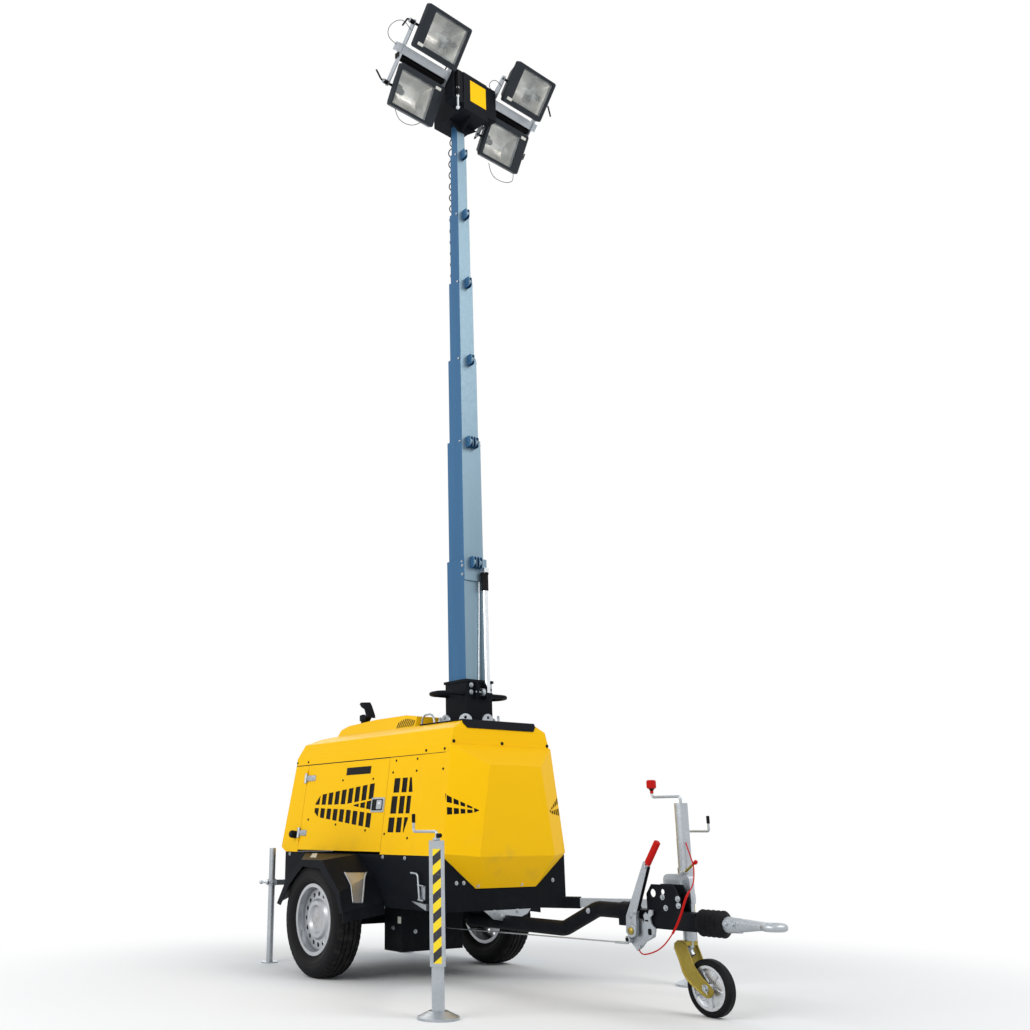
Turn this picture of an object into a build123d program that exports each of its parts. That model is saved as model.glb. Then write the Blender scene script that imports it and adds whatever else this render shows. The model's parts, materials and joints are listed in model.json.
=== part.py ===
from build123d import *
import math
import os

os.makedirs("parts", exist_ok=True)

# Mobile light tower on a single-axle trailer, parked on its legs with the mast raised.
# Millimetres. +X runs forward to the towing eye, +Y to the left, +Z up. The ground is Z = 0.

# Layout along the trailer
axle_x = -845.0
mast_x = axle_x + 560.0
skirt_rear_x = axle_x - 745.0
rear_heel_x = axle_x - 803.0
rear_top_x = axle_x - 756.0
door_rear_x = axle_x - 598.0
vent_rear_x = axle_x + 288.0
front_panel_x = axle_x + 590.0
nose_rear_x = axle_x + 800.0

# Clearances
seat_gap = 0.3
running_fit = 0.05
panel_gap = 3.0

# Wheels
track_half = 576.0
tyre_radius = 289.0
tyre_width = 159.0
bead_radius = 166.3
rim_seat_radius = 166.0
rim_half_width = 62.0
stub_radius = 15.0
drum_radius = 95.0

# Lower body
deck_z = 455.0
skirt_bottom_z = 360.0
skirt_half = 404.0
skirt_front_x = axle_x + 835.0
skirt_sheet = 4.0
rail_y = 255.0
rail_width = 50.0
rail_height = 60.0

# Canopy, seen from the front: the sides lean in towards the seam under the roof
sill_z = 619.0
seam_z = 1126.0
sill_half = skirt_half + 1.0
seam_half = 335.0
sheet = 3.0
panel_foot_z = sill_z + 0.5
rear_heel_z = 645.0
door_foot_z = sill_z + 13.0
nose_foot_z = sill_z - 148.0
door_top_z = seam_z - 3.0

# Roof hood and its hump
roof_bottom_z = seam_z + seat_gap
roof_top_z = 1288.0
roof_front_x = axle_x + 827.0
roof_hole_radius = 130.0
roof_profile = ((335.0, roof_bottom_z), (333.0, 1165.0), (308.0, 1248.0), (240.0, roof_top_z))
roof_side = (
    (rear_top_x, roof_bottom_z), (rear_top_x + 4, 1165.0), (axle_x - 697.0, 1250.0),
    (axle_x - 600.0, 1280.0), (axle_x - 450.0, roof_top_z), (roof_front_x - 17, roof_top_z),
    (roof_front_x, 1248.0), (roof_front_x, roof_bottom_z),
)
hump_side = (
    (axle_x - 431.0, 1270.0), (axle_x - 420.0, 1326.0), (axle_x - 345.0, 1347.0),
    (axle_x - 60.0, 1362.0), (axle_x + 250.0, 1362.0), (axle_x + 366.0, 1345.0),
    (axle_x + 384.0, 1270.0),
)
hump_profile = ((248.0, 1270.0), (200.0, 1367.0))
louvre_x = axle_x + 205.0
louvre_pitch = 19.0
louvre_tops = (1326.0, 1333.0, 1338.0, 1341.0, 1340.0, 1337.0, 1333.0, 1329.0, 1325.0)
plate_bottom_z = roof_top_z + seat_gap
plate_sheet = 6.0
ring_bottom_z = plate_bottom_z + plate_sheet + seat_gap
ring_sheet = 8.0
ring_bore = 122.0
lug_circle = 160.0

# Door hinges
hinge_x = door_rear_x - panel_gap / 2
hinge_heights = (715.0, 1053.0)
knuckle_radius = 6.0
hinge_pin_radius = 3.0
hinge_leaf = 2.5

# Mast: outside size of each section, its top at rest and its length
mast_sections = (
    ("size", "top_z", "length", "pulley_ys"),
    (155.0, 2215.0, 1695.0, (-30.0, 10.0)),
    (138.0, 2940.0, 1600.0, (-30.0, 10.0)),
    (120.0, 3470.0, 1600.0, (0.0,)),
    (103.0, 3990.0, 1600.0, (0.0,)),
    (87.0, 4470.0, 1600.0, (0.0,)),
    (73.0, 4910.0, 1600.0, (0.0,)),
    (60.0, 5120.0, 1500.0, ()),
)
mast_wall = 3.0
guide_length = 40.0
mast_foot_z = 514.0
pulley_radius = 21.0
pulley_reach = 46.0
cylinder_x = 108.0
cylinder_y = 45.0
cylinder_radius = 16.0
head_plate_sheet = 8.0
cable_radius = 22.0
cable_foot_z = 1600.0
turret_size = 182.0
turret_bottom_z = ring_bottom_z + ring_sheet + seat_gap
turret_top_z = 1530.0
handle_z = 1452.0

# Lamp head, turned a little on the top section
head_bottom_z = mast_sections[-1][1] + seat_gap
head_turn = 6.0
bar_x = 125.0
bar_z = 5334.0
bar_size = 50.0
head_box_half = 105.0
column_width = 84.7
bar_inner = head_box_half + column_width + seat_gap
bar_outer = 617.0
frame_tilt = 41.0
lamp_y = 390.0
lamp_width = 358.0
lamp_height = 262.0
lamp_face = 71.0
lamp_back = 66.0
upper_reach = 164.0
lower_reach = 214.0
upper_tilt = 37.0
lower_tilt = 28.0

# Stabilizers
arm_angle = 37.5
arm_point = (axle_x + 990.0, 538.0)
arm_z = 380.0
sleeve_size = 56.0
beam_size = 45.0
sleeve_out = -130.0
sleeve_in = -720.0
beam_in = -240.0
right_reach = 490.0
left_reach = 413.0
leg_outer_size = 65.0
leg_inner_size = 52.0
leg_outer_bottom = 202.0
leg_outer_top = 700.0
foot_radius = 87.5
rear_leg_x = axle_x - 750.0
rear_leg_y = skirt_half + 85.0
rear_leg_radius = 19.0

# Drawbar and coupling
drawbar_radius = 34.0
drawbar_low_z = 300.0
drawbar_high_z = 400.0
housing_front_x = axle_x + 2070.0
housing_rear_x = axle_x + 1640.0
housing_z = 378.0
housing_half = 36.0
bellows_front_x = axle_x + 2200.0
eye_x = axle_x + 2425.0
eye_z = 383.0
jockey_x = axle_x + 1903.0
jockey_y = 120.0
jockey_wheel_x = axle_x + 1995.0
jockey_wheel_radius = 113.0
brake_pivot_x = axle_x + 1749.0
brake_pivot_z = 327.0


def half_width(z):
    """Half the canopy's width at height z."""
    return sill_half - (z - sill_z) * (sill_half - seam_half) / (seam_z - sill_z)


def up_side(z):
    """Distance up the leaning side from the sill to height z."""
    lean = math.atan2(sill_half - seam_half, seam_z - sill_z)
    return (z - sill_z) / math.cos(lean)


def on_side(outline):
    """Outline on the side panel from (x, z) corners."""
    return [(x, up_side(z)) for x, z in outline]


def line_at(line, x):
    """Height at x of a line given by its (x, z) corners."""
    for (x0, z0), (x1, z1) in zip(line, line[1:]):
        if x <= x1 or (x1, z1) == line[-1]:
            return z0 + (z1 - z0) * (x - x0) / (x1 - x0)


def slot_cell(x0, x1, top, bottom):
    """Four-sided ventilation slot between two lines."""
    return [
        (x0, line_at(bottom, x0)), (x1, line_at(bottom, x1)),
        (x1, line_at(top, x1)), (x0, line_at(top, x0)),
    ]


def side_plane(x, z, out=0.0):
    """Plane on the right side panel's outside: x forward, y up the panel, z outward."""
    lean = math.atan2(sill_half - seam_half, seam_z - sill_z)
    normal = Vector(0, -math.cos(lean), math.sin(lean))
    return Plane(
        origin=Vector(x, -half_width(z), z) + normal * out,
        x_dir=(1, 0, 0),
        z_dir=normal,
    )


def arm_at(t, side, z=0.0):
    """Point on an outrigger's centre line; side is -1 on the right and 1 on the left."""
    a = math.radians(arm_angle)
    return Vector(arm_point[0] + t * math.cos(a), side * (arm_point[1] + t * math.sin(a)), z)


def arm_plane(t, side, z):
    """Plane across an outrigger, facing outward along it."""
    a = math.radians(arm_angle)
    return Plane(
        origin=arm_at(t, side, z),
        x_dir=(-side * math.sin(a), math.cos(a), 0),
        z_dir=(math.cos(a), side * math.sin(a), 0),
    )


def leg_plane(t, side, z):
    """Level plane at a front leg, squared to its outrigger."""
    a = math.radians(arm_angle)
    return Plane(
        origin=arm_at(t, side, z),
        x_dir=(math.cos(a), side * math.sin(a), 0),
        z_dir=(0, 0, 1),
    )


def head_plane(forward, across, z):
    """Level plane on the turned lamp head."""
    a = math.radians(head_turn)
    return Plane(
        origin=(
            mast_x + forward * math.cos(a) - across * math.sin(a),
            forward * math.sin(a) + across * math.cos(a),
            z,
        ),
        x_dir=(math.cos(a), math.sin(a), 0),
        z_dir=(0, 0, 1),
    )


def lamp_plane(across, reach, tilt):
    """Plane of a lamp's face through its pivot: x across, y up, z out of the glass."""
    a = math.radians(head_turn)
    f = math.radians(frame_tilt)
    t = math.radians(tilt)
    forward = Vector(math.cos(a), math.sin(a), 0)
    sideways = Vector(-math.sin(a), math.cos(a), 0)
    up = Vector(0, 0, 1)
    bar = Vector(mast_x, 0, 0) + forward * bar_x + up * bar_z
    centre = bar + sideways * across + (forward * math.sin(f) + up * math.cos(f)) * reach
    return Plane(
        origin=centre,
        x_dir=sideways,
        z_dir=forward * math.cos(t) - up * math.sin(t),
    )


# Chassis: two rails, cross members, deck, mast foot and the outrigger sleeves
with BuildPart() as chassis_frame:
    rail_rear_x = skirt_rear_x + skirt_sheet + 4
    rail_length = skirt_front_x - skirt_sheet - 4 - rail_rear_x
    for y in (-rail_y, rail_y):
        with Locations((rail_rear_x, y, deck_z - rail_height / 2)):
            Box(rail_length, rail_width, rail_height, align=(Align.MIN, Align.CENTER, Align.CENTER))
    for dx in (-690, -30, 260, 660, 795):
        with Locations((axle_x + dx, 0, deck_z - rail_height / 2)):
            Box(50, 2 * rail_y, rail_height)
    with Locations((rail_rear_x, 0, deck_z)):
        Box(
            rail_length, 2 * (skirt_half - skirt_sheet - seat_gap), sheet,
            align=(Align.MIN, Align.CENTER, Align.MIN),
        )
    with Locations((mast_x, 0, deck_z)):
        Cylinder(70, mast_foot_z - seat_gap - deck_z, align=(Align.CENTER, Align.CENTER, Align.MIN))
        Cylinder(20, mast_foot_z + 12 - deck_z, align=(Align.CENTER, Align.CENTER, Align.MIN))
    for side in (-1, 1):
        with BuildSketch(arm_plane(sleeve_in, side, arm_z)):
            Rectangle(sleeve_size, sleeve_size)
        extrude(amount=sleeve_out - sleeve_in)
        with BuildSketch(arm_plane(sleeve_in, side, arm_z)):
            Rectangle(beam_size + 2.0, beam_size + 2.0)
        extrude(amount=sleeve_out - sleeve_in, mode=Mode.SUBTRACT)
    with Locations((axle_x + 640, 0, 364), (axle_x + 785, 0, 364)):
        Box(70, 90, 62)
    with BuildSketch(Plane.YZ.offset(axle_x + 500)):
        with Locations((0, drawbar_low_z)):
            Circle(drawbar_radius + seat_gap)
    extrude(amount=500, mode=Mode.SUBTRACT)
chassis_frame.part.label = "chassis_frame"
export_step(chassis_frame.part, "parts/chassis_frame.step")

# Axle with its brake drums
with BuildPart() as axle:
    with Locations((axle_x, 0, tyre_radius)):
        Box(70, 2 * 440, 70)
    for side in (-1, 1):
        with Locations(Plane((axle_x, side * 440, tyre_radius), z_dir=(0, side, 0))):
            Cylinder(drum_radius, track_half + 14 - 440, align=(Align.CENTER, Align.CENTER, Align.MIN))
            Cylinder(stub_radius, track_half + 20 - 440, align=(Align.CENTER, Align.CENTER, Align.MIN))
        with Locations((axle_x, side * rail_y, (tyre_radius + deck_z - rail_height) / 2)):
            Box(120, 40, deck_z - rail_height - tyre_radius - 2 * seat_gap)
axle.part.label = "axle"
export_step(axle.part, "parts/axle.step")

# Road wheels
for side, name in ((-1, "right"), (1, "left")):
    hub = Plane((axle_x, side * track_half, tyre_radius), z_dir=(0, side, 0))
    section = Plane((axle_x, side * track_half, tyre_radius), x_dir=(0, 0, 1), z_dir=(1, 0, 0))
    out = -side
    with BuildPart() as tyre:
        with BuildSketch(section):
            with BuildLine():
                Polyline(
                    (bead_radius, 57),
                    (180.5, 57),
                    (184, 63),
                    (214, 77),
                    (240, tyre_width / 2),
                    (266, 75),
                    (281, 66),
                    (tyre_radius, 52),
                    (tyre_radius, -52),
                    (281, -66),
                    (266, -75),
                    (240, -tyre_width / 2),
                    (214, -77),
                    (184, -63),
                    (180.5, -57),
                    (bead_radius, -57),
                    close=True,
                )
            make_face()
        revolve(axis=Axis(hub.origin, (0, 1, 0)))
    tyre.part.label = f"tyre_{name}"
    export_step(tyre.part, f"parts/tyre_{name}.step")

    with BuildPart() as rim:
        with BuildSketch(section):
            with BuildLine():
                Polyline(
                    (180, 62 * out),
                    (180, 57.3 * out),
                    (rim_seat_radius, 57.3 * out),
                    (rim_seat_radius, -57.3 * out),
                    (180, -57.3 * out),
                    (180, -62 * out),
                    (rim_seat_radius - 4, -62 * out),
                    (rim_seat_radius - 4, 7 * out),
                    (150, 19 * out),
                    (102, 24 * out),
                    (90, 37 * out),
                    (74, 39 * out),
                    (62, 25 * out),
                    (32, 20 * out),
                    (stub_radius + running_fit, 20 * out),
                    (stub_radius + running_fit, 24 * out),
                    (0, 24 * out),
                    (0, 30 * out),
                    (60, 30 * out),
                    (72, 44 * out),
                    (92, 42 * out),
                    (104, 28 * out),
                    (150, 24 * out),
                    (rim_seat_radius - 4, 12 * out),
                    (rim_seat_radius - 4, 62 * out),
                    close=True,
                )
            make_face()
        revolve(axis=Axis(hub.origin, (0, 1, 0)))
        with Locations(hub):
            with PolarLocations(127, 16):
                Cylinder(12, 80, mode=Mode.SUBTRACT)
    rim.part.label = f"rim_{name}"
    export_step(rim.part, f"parts/rim_{name}.step")

# Angular fenders: polar tables round the hub, each angle with its clearance over the tyre,
# and the band's inner edge on the skirt as (x, z) from the axle
fender_edge = ((169.6, 64), (140.3, 26), (106.1, 24), (65.8, 42), (25.8, 58), (8.7, 60))
wheel_opening = ((169.7, 24), (142.3, -17), (104.7, -14), (66.5, -8), (26.7, 24), (8.5, 35))
fender_foot = ((-560, 400), (-540, 520), (-500, 617), (68, 617), (230, 522), (337, 383))
fender_sheet = 4.5
fender_out = 665.0


def round_hub(table):
    """Points (x, z) of a polar table round the wheel hub."""
    return [
        (
            axle_x + (tyre_radius + clear) * math.cos(math.radians(angle)),
            tyre_radius + (tyre_radius + clear) * math.sin(math.radians(angle)),
        )
        for angle, clear in table
    ]


def band_outline(points):
    """Closed outline of a thin band with its inner side drawn towards the hub."""
    inner = []
    for x, z in reversed(points):
        reach = math.hypot(x - axle_x, z - tyre_radius)
        inner.append((
            x - (x - axle_x) * fender_sheet / reach, z - (z - tyre_radius) * fender_sheet / reach,
        ))
    return list(points) + inner


with BuildPart() as fenders:
    edge = round_hub(fender_edge)
    for y, points in (
        (skirt_half + seat_gap, [(axle_x + x, z) for x, z in fender_foot]),
        (fender_out, edge),
    ):
        with BuildSketch(Plane.XZ.offset(y)):
            with BuildLine():
                Polyline(*band_outline(points), close=True)
            make_face()
    loft(ruled=True)
    with BuildSketch(Plane.XZ.offset(fender_out - 0.5)):
        with BuildLine():
            Polyline(*edge, *reversed(round_hub(wheel_opening)), close=True)
        make_face()
    extrude(amount=fender_sheet)
    mirror(about=Plane.XZ)
fenders.part.label = "fenders"
export_step(fenders.part, "parts/fenders.step")

# Black skirt round the chassis
with BuildPart() as skirt:
    skirt_length = skirt_front_x - skirt_rear_x
    with BuildSketch(Plane.XY.offset(skirt_bottom_z)):
        with Locations(((skirt_front_x + skirt_rear_x) / 2, 0)):
            Rectangle(skirt_length, 2 * skirt_half)
            Rectangle(
                skirt_length - 2 * skirt_sheet, 2 * (skirt_half - skirt_sheet), mode=Mode.SUBTRACT
            )
    extrude(amount=sill_z - seat_gap - skirt_bottom_z)
    for side in (-1, 1):
        with BuildSketch(arm_plane(-330, side, arm_z)):
            Rectangle(sleeve_size + 2, sleeve_size + 2)
        extrude(amount=300, mode=Mode.SUBTRACT)
skirt.part.label = "skirt"
export_step(skirt.part, "parts/skirt.step")

# Fuel tank under the deck
with BuildPart() as fuel_tank:
    with Locations((axle_x + 180, -300, 135)):
        Box(
            160, 400, deck_z - rail_height - seat_gap - 135,
            align=(Align.MIN, Align.MIN, Align.MIN),
        )
fuel_tank.part.label = "fuel_tank"
export_step(fuel_tank.part, "parts/fuel_tank.step")

# Engine and generator, one plain block inside
with BuildPart() as engine_block:
    with Locations((axle_x - 120, 0, deck_z + 3 + seat_gap)):
        Box(780, 420, 520, align=(Align.CENTER, Align.CENTER, Align.MIN))
engine_block.part.label = "engine_block"
export_step(engine_block.part, "parts/engine_block.step")

# Mast support between deck and roof, with the bearing ring on top
with BuildPart() as mast_support:
    with Locations((mast_x, -165, deck_z + 3), (mast_x, 165, deck_z + 3)):
        Box(
            200, 8, roof_top_z - sheet - seat_gap - deck_z - sheet,
            align=(Align.CENTER, Align.CENTER, Align.MIN),
        )
    with BuildSketch(Plane.XY.offset(roof_top_z - sheet - seat_gap)):
        with Locations((mast_x, 0)):
            Rectangle(200, 338)
            Circle(ring_bore, mode=Mode.SUBTRACT)
    extrude(amount=-14)
mast_support.part.label = "mast_support"
export_step(mast_support.part, "parts/mast_support.step")

# Ventilation slots of the doors, as the lines that bound each row and the slots' sides
door_slot_xs = [(axle_x - 463.0 + 71.7 * k, axle_x - 413.0 + 71.7 * k) for k in range(9)]
upper_row = (
    ((axle_x - 463, 893), (axle_x - 413, 943), (axle_x + 161, 992)),
    ((axle_x - 463, 887), (axle_x - 270, 884), (axle_x - 126, 884), (axle_x + 161, 909)),
)
lower_row = (
    ((axle_x - 463, 869), (axle_x - 126, 856), (axle_x + 161, 831)),
    ((axle_x - 463, 846), (axle_x - 413, 816), (axle_x + 161, 754)),
)
wedge_row = (
    ((axle_x - 46, 877), (axle_x + 165, 903)),
    ((axle_x - 46, 874), (axle_x + 165, 848)),
)
wedge_xs = ((-34, 21), (35, 85), (98, 152))

# Slots of the bolted vent panels: columns of the top row, with each row's shift and heights
vent_columns = ((350, 406), (426, 474), (492, 531))
vent_rows = (("shift", "low_z", "high_z"), (0, 934, 1010), (-8, 826, 916), (-14, 731, 807))


def door_slots():
    """Outlines of a door's slots."""
    cells = [slot_cell(x0, x1, *row) for row in (upper_row, lower_row) for x0, x1 in door_slot_xs]
    cells += [slot_cell(axle_x + x0, axle_x + x1, *wedge_row) for x0, x1 in wedge_xs]
    return cells


def vent_slots():
    """Outlines of a vent panel's slots; the foremost column narrows in two of the rows."""
    cells = []
    for shift, low_z, high_z in vent_rows[1:]:
        for x0, x1 in vent_columns:
            foremost = x0 == vent_columns[-1][0]
            high_x1 = x1 - 20 if foremost and shift == 0 else x1
            low_x1 = x0 + 8 if foremost and shift == -14 else x1
            corners = ((x0, low_z), (low_x1, low_z), (high_x1, high_z), (x0, high_z))
            cells.append([(axle_x + shift + x, z) for x, z in corners])
    return cells


def cut_slots(outlines, corner):
    """Cuts rounded slots through the right side panel being built."""
    with BuildSketch(side_plane(0, sill_z)) as slots:
        for outline in outlines:
            with BuildLine():
                Polyline(*on_side(outline), close=True)
            make_face()
        fillet(slots.vertices(), corner)
    extrude(slots.sketch, amount=4 * sheet, both=True, mode=Mode.SUBTRACT)


# Rear wall with its chamfered foot, cut to the leaning sides
wall_side = [
    (skirt_rear_x, panel_foot_z), (rear_heel_x, rear_heel_z), (rear_top_x, seam_z),
    (rear_top_x + sheet, seam_z), (rear_heel_x + sheet, rear_heel_z + 2),
    (skirt_rear_x, panel_foot_z + sheet),
]
with BuildPart() as rear_wall:
    with BuildSketch(Plane.XZ):
        with BuildLine():
            Polyline(*wall_side, close=True)
        make_face()
    extrude(amount=sill_half + 50, both=True)
    with BuildSketch(Plane.YZ.offset(rear_heel_x - 50)):
        with BuildLine():
            Polyline(
                (-half_width(panel_foot_z - 20), panel_foot_z - 20),
                (half_width(panel_foot_z - 20), panel_foot_z - 20),
                (half_width(seam_z), seam_z),
                (-half_width(seam_z), seam_z),
                close=True,
            )
        make_face()
    extrude(amount=200, mode=Mode.INTERSECT)

# Canopy: fixed corner and front side panels with the rear wall
with BuildPart() as canopy_panels:
    for outline in (
        [
            (skirt_rear_x, panel_foot_z), (rear_heel_x, rear_heel_z), (rear_top_x, seam_z),
            (door_rear_x - panel_gap, seam_z), (door_rear_x - panel_gap, panel_foot_z),
        ],
        [
            (front_panel_x, panel_foot_z), (front_panel_x, seam_z),
            (nose_rear_x - 0.5, seam_z), (nose_rear_x - 0.5, panel_foot_z),
        ],
    ):
        with BuildSketch(side_plane(0, sill_z)):
            with BuildLine():
                Polyline(*on_side(outline), close=True)
            make_face()
        extrude(amount=-sheet)
    for z in hinge_heights:
        axis_plane = side_plane(hinge_x, z, knuckle_radius)
        with Locations(axis_plane.offset(-knuckle_radius)):
            with Locations((-7, 0, 0)):
                Box(25, 70, hinge_leaf, align=(Align.MAX, Align.CENTER, Align.MIN))
            with Locations((0, -24.5, 0), (0, 24.5, 0)):
                Box(12, 20, hinge_leaf, align=(Align.MAX, Align.CENTER, Align.MIN))
        pin = Plane(axis_plane.origin, z_dir=axis_plane.y_dir)
        with Locations(pin.offset(-24.5), pin.offset(24.5)):
            Cylinder(knuckle_radius, 20)
        with Locations(pin):
            Cylinder(hinge_pin_radius, 60)
    mirror(about=Plane.XZ)
    add(rear_wall.part)
canopy_panels.part.label = "canopy_panels"
export_step(canopy_panels.part, "parts/canopy_panels.step")

# Bolted vent panels behind the front side panels
with BuildPart() as vent_panels:
    with BuildSketch(side_plane(0, sill_z)):
        with BuildLine():
            Polyline(*on_side([
                (vent_rear_x, panel_foot_z), (vent_rear_x, seam_z),
                (front_panel_x - seat_gap, seam_z), (front_panel_x - seat_gap, panel_foot_z),
            ]), close=True)
        make_face()
    extrude(amount=-sheet)
    cut_slots(vent_slots(), 3)
    mirror(about=Plane.XZ)
vent_panels.part.label = "vent_panels"
export_step(vent_panels.part, "parts/vent_panels.step")

# Service doors, hinged along their rear edges
with BuildPart() as door_right:
    with BuildSketch(side_plane(0, sill_z)):
        with BuildLine():
            Polyline(*on_side([
                (door_rear_x, door_foot_z), (door_rear_x, door_top_z),
                (vent_rear_x - panel_gap, door_top_z), (vent_rear_x - panel_gap, door_foot_z),
            ]), close=True)
        make_face()
    extrude(amount=-sheet)
    cut_slots(door_slots(), 2.5)
    for z in hinge_heights:
        axis_plane = side_plane(hinge_x, z, knuckle_radius)
        with Locations(axis_plane.offset(-knuckle_radius)):
            Box(32, 28, hinge_leaf, align=(Align.MIN, Align.CENTER, Align.MIN))
        pin = Plane(axis_plane.origin, z_dir=axis_plane.y_dir)
        with Locations(pin):
            Cylinder(knuckle_radius, 28)
            Cylinder(hinge_pin_radius + running_fit, 28, mode=Mode.SUBTRACT)
door_right.part.label = "door_right"
export_step(door_right.part, "parts/door_right.step")

with BuildPart() as door_left:
    mirror(door_right.part, about=Plane.XZ)
door_left.part.label = "door_left"
export_step(door_left.part, "parts/door_left.step")


def nose_solid(inset):
    """Faceted nose as a solid, each outside plane moved in by inset."""
    block = Box(
        200, 2 * sill_half + 90, 700,
        align=(Align.MIN, Align.CENTER, Align.MIN), mode=Mode.PRIVATE,
    )
    block = Pos(nose_rear_x, 0, nose_foot_z - 6) * block
    brow = Vector(roof_front_x + 3, -(seam_half + 6), seam_z + 36)
    crest = Vector(axle_x + 939, -171, seam_z - 66)
    lip = Vector(axle_x + 937, -246, sill_z - 2)
    corner = Vector(skirt_front_x + 8, -(sill_half + 1), sill_z)
    heel = Vector(skirt_front_x + 10, -192, nose_foot_z)
    brow_left, lip_left = (Vector(v.X, -v.Y, v.Z) for v in (brow, lip))
    faces = (
        (brow, crest, lip),
        (brow, brow_left, crest),
        (crest, lip, lip_left),
        (corner, brow, Vector(nose_rear_x, -sill_half, sill_z)),
        (lip, lip_left, heel),
        (lip, heel, Vector(nose_rear_x - 20, -(sill_half + 1), sill_z - 59)),
    )
    inside = Vector(nose_rear_x + 10, 0, (sill_z + seam_z) / 2)
    for a, b, c in faces:
        for flip in (1, -1):
            p, q, r = (Vector(v.X, v.Y * flip, v.Z) for v in (a, b, c))
            n = (q - p).cross(r - p).normalized()
            if n.dot(inside - p) > 0:
                n = n * -1
            cut = Plane(p - n * inset, z_dir=n)
            block = split(block, bisect_by=cut, keep=Keep.BOTTOM, mode=Mode.PRIVATE)
    return block


# Slots on the nose's right chamfer, from its middle: the row's sides, then each slot's s range
nose_slot_plane = Plane(
    origin=(axle_x + 849.4, -352.3, 887.0),
    x_dir=(0.5046, 0.8633, 0),
    z_dir=(0.8605, -0.5030, 0.0813),
)
nose_slot_xs = ((-22, 4), (12, 38), (46, 70), (79, 106))
with BuildPart() as nose_slots:
    with BuildSketch(nose_slot_plane) as slots:
        for s0, s1 in nose_slot_xs:
            with BuildLine():
                Polyline(
                    (s0, -16 - 0.25 * s0), (s1, -16 - 0.25 * s1),
                    (s1, 14 - 0.45 * s1), (s0, 14 - 0.45 * s0), close=True,
                )
            make_face()
            with BuildLine():
                Polyline(
                    (s0, -70 + 0.07 * s0), (s1, -70 + 0.07 * s1),
                    (s1, -37 - 0.11 * s1), (s0, -37 - 0.11 * s0), close=True,
                )
            make_face()
        with BuildLine():
            Polyline((114, -61), (139, -52), (139, -49), (114, -38), close=True)
        make_face()
    extrude(amount=12, both=True)
    mirror(about=Plane.XZ)


# Faceted yellow nose
nose_outside = nose_solid(0)
nose_inside = nose_solid(sheet)
with BuildPart() as nose:
    add(nose_outside)
    add(nose_inside, mode=Mode.SUBTRACT)
    with Locations((nose_rear_x, 0, seam_z)):
        Box(
            roof_front_x + seat_gap - nose_rear_x, 2 * sill_half + 90, 100,
            align=(Align.MIN, Align.CENTER, Align.MIN), mode=Mode.SUBTRACT,
        )
    with Locations((nose_rear_x, 0, sill_z)):
        Box(
            skirt_front_x + seat_gap - nose_rear_x, 2 * sill_half + 90, 200,
            align=(Align.MIN, Align.CENTER, Align.MAX), mode=Mode.SUBTRACT,
        )
    add(nose_slots.part, mode=Mode.SUBTRACT)
nose.part.label = "nose"
export_step(nose.part, "parts/nose.step")


def hood_solid(side_outline, half_outline, inset):
    """Solid with the given outline from the side and half outline from behind, drawn in by inset."""
    drop = 20 if inset else 0
    side_points = [(x, z - drop if z < side_outline[0][1] + 1 else z) for x, z in side_outline]
    right = [(-y, z - drop if z < half_outline[0][1] + 1 else z) for y, z in half_outline]
    with BuildSketch(Plane.XZ) as from_side:
        with BuildLine():
            Polyline(*side_points, close=True)
        make_face()
        offset(amount=-inset, kind=Kind.INTERSECTION)
    with BuildSketch(Plane.YZ) as from_behind:
        with BuildLine():
            Polyline(*right, *[(-y, z) for y, z in reversed(right)], close=True)
        make_face()
        offset(amount=-inset, kind=Kind.INTERSECTION)
    long = extrude(from_side.sketch, amount=600, both=True)
    wide = extrude(from_behind.sketch, amount=2500, both=True)
    return long & wide


# Roof hood with its raised rear hump, open below, with the hump's louvres and the mast's hole
hood_outside = hood_solid(roof_side, roof_profile, 0)
hood_inside = hood_solid(roof_side, roof_profile, sheet)
hump_outside = hood_solid(hump_side, hump_profile, 0)
hump_inside = hood_solid(hump_side, hump_profile, sheet)
with BuildPart() as roof:
    add(hood_outside)
    add(hump_outside)
    add(hood_inside, mode=Mode.SUBTRACT)
    add(hump_inside, mode=Mode.SUBTRACT)
    with Locations((mast_x, 0, roof_top_z)):
        Cylinder(roof_hole_radius, 100, mode=Mode.SUBTRACT)
    with BuildSketch(Plane.XZ):
        for k, top_z in enumerate(louvre_tops):
            with Locations((louvre_x + k * louvre_pitch, (1292 + top_z) / 2)):
                SlotOverall(top_z - 1292, 8, rotation=90)
    extrude(amount=300, both=True, mode=Mode.SUBTRACT)
roof.part.label = "roof"
export_step(roof.part, "parts/roof.step")

# Black plate on the front of the roof, folded down the front slope
with BuildPart() as roof_plate:
    with BuildSketch(Plane.XZ):
        with BuildLine():
            Polyline(
                (mast_x - 125, plate_bottom_z), (roof_front_x - 16.6, plate_bottom_z),
                (roof_front_x + 0.5, 1248.3), (roof_front_x + 6.1, 1250.7),
                (roof_front_x - 12.7, plate_bottom_z + plate_sheet),
                (mast_x - 125, plate_bottom_z + plate_sheet), close=True,
            )
        make_face()
    extrude(amount=roof_profile[-1][0] + 5, both=True)
    with BuildSketch(Plane.YZ.offset(roof_front_x - 30)):
        for side in (-1, 1):
            with BuildLine():
                Polyline((side * 214, 1240), (side * 250, 1240), (side * 250, 1280), close=True)
            make_face()
    extrude(amount=60, mode=Mode.SUBTRACT)
    with Locations((mast_x, 0, plate_bottom_z)):
        Cylinder(ring_bore, 40, mode=Mode.SUBTRACT)
roof_plate.part.label = "roof_plate"
export_step(roof_plate.part, "parts/roof_plate.step")

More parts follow.
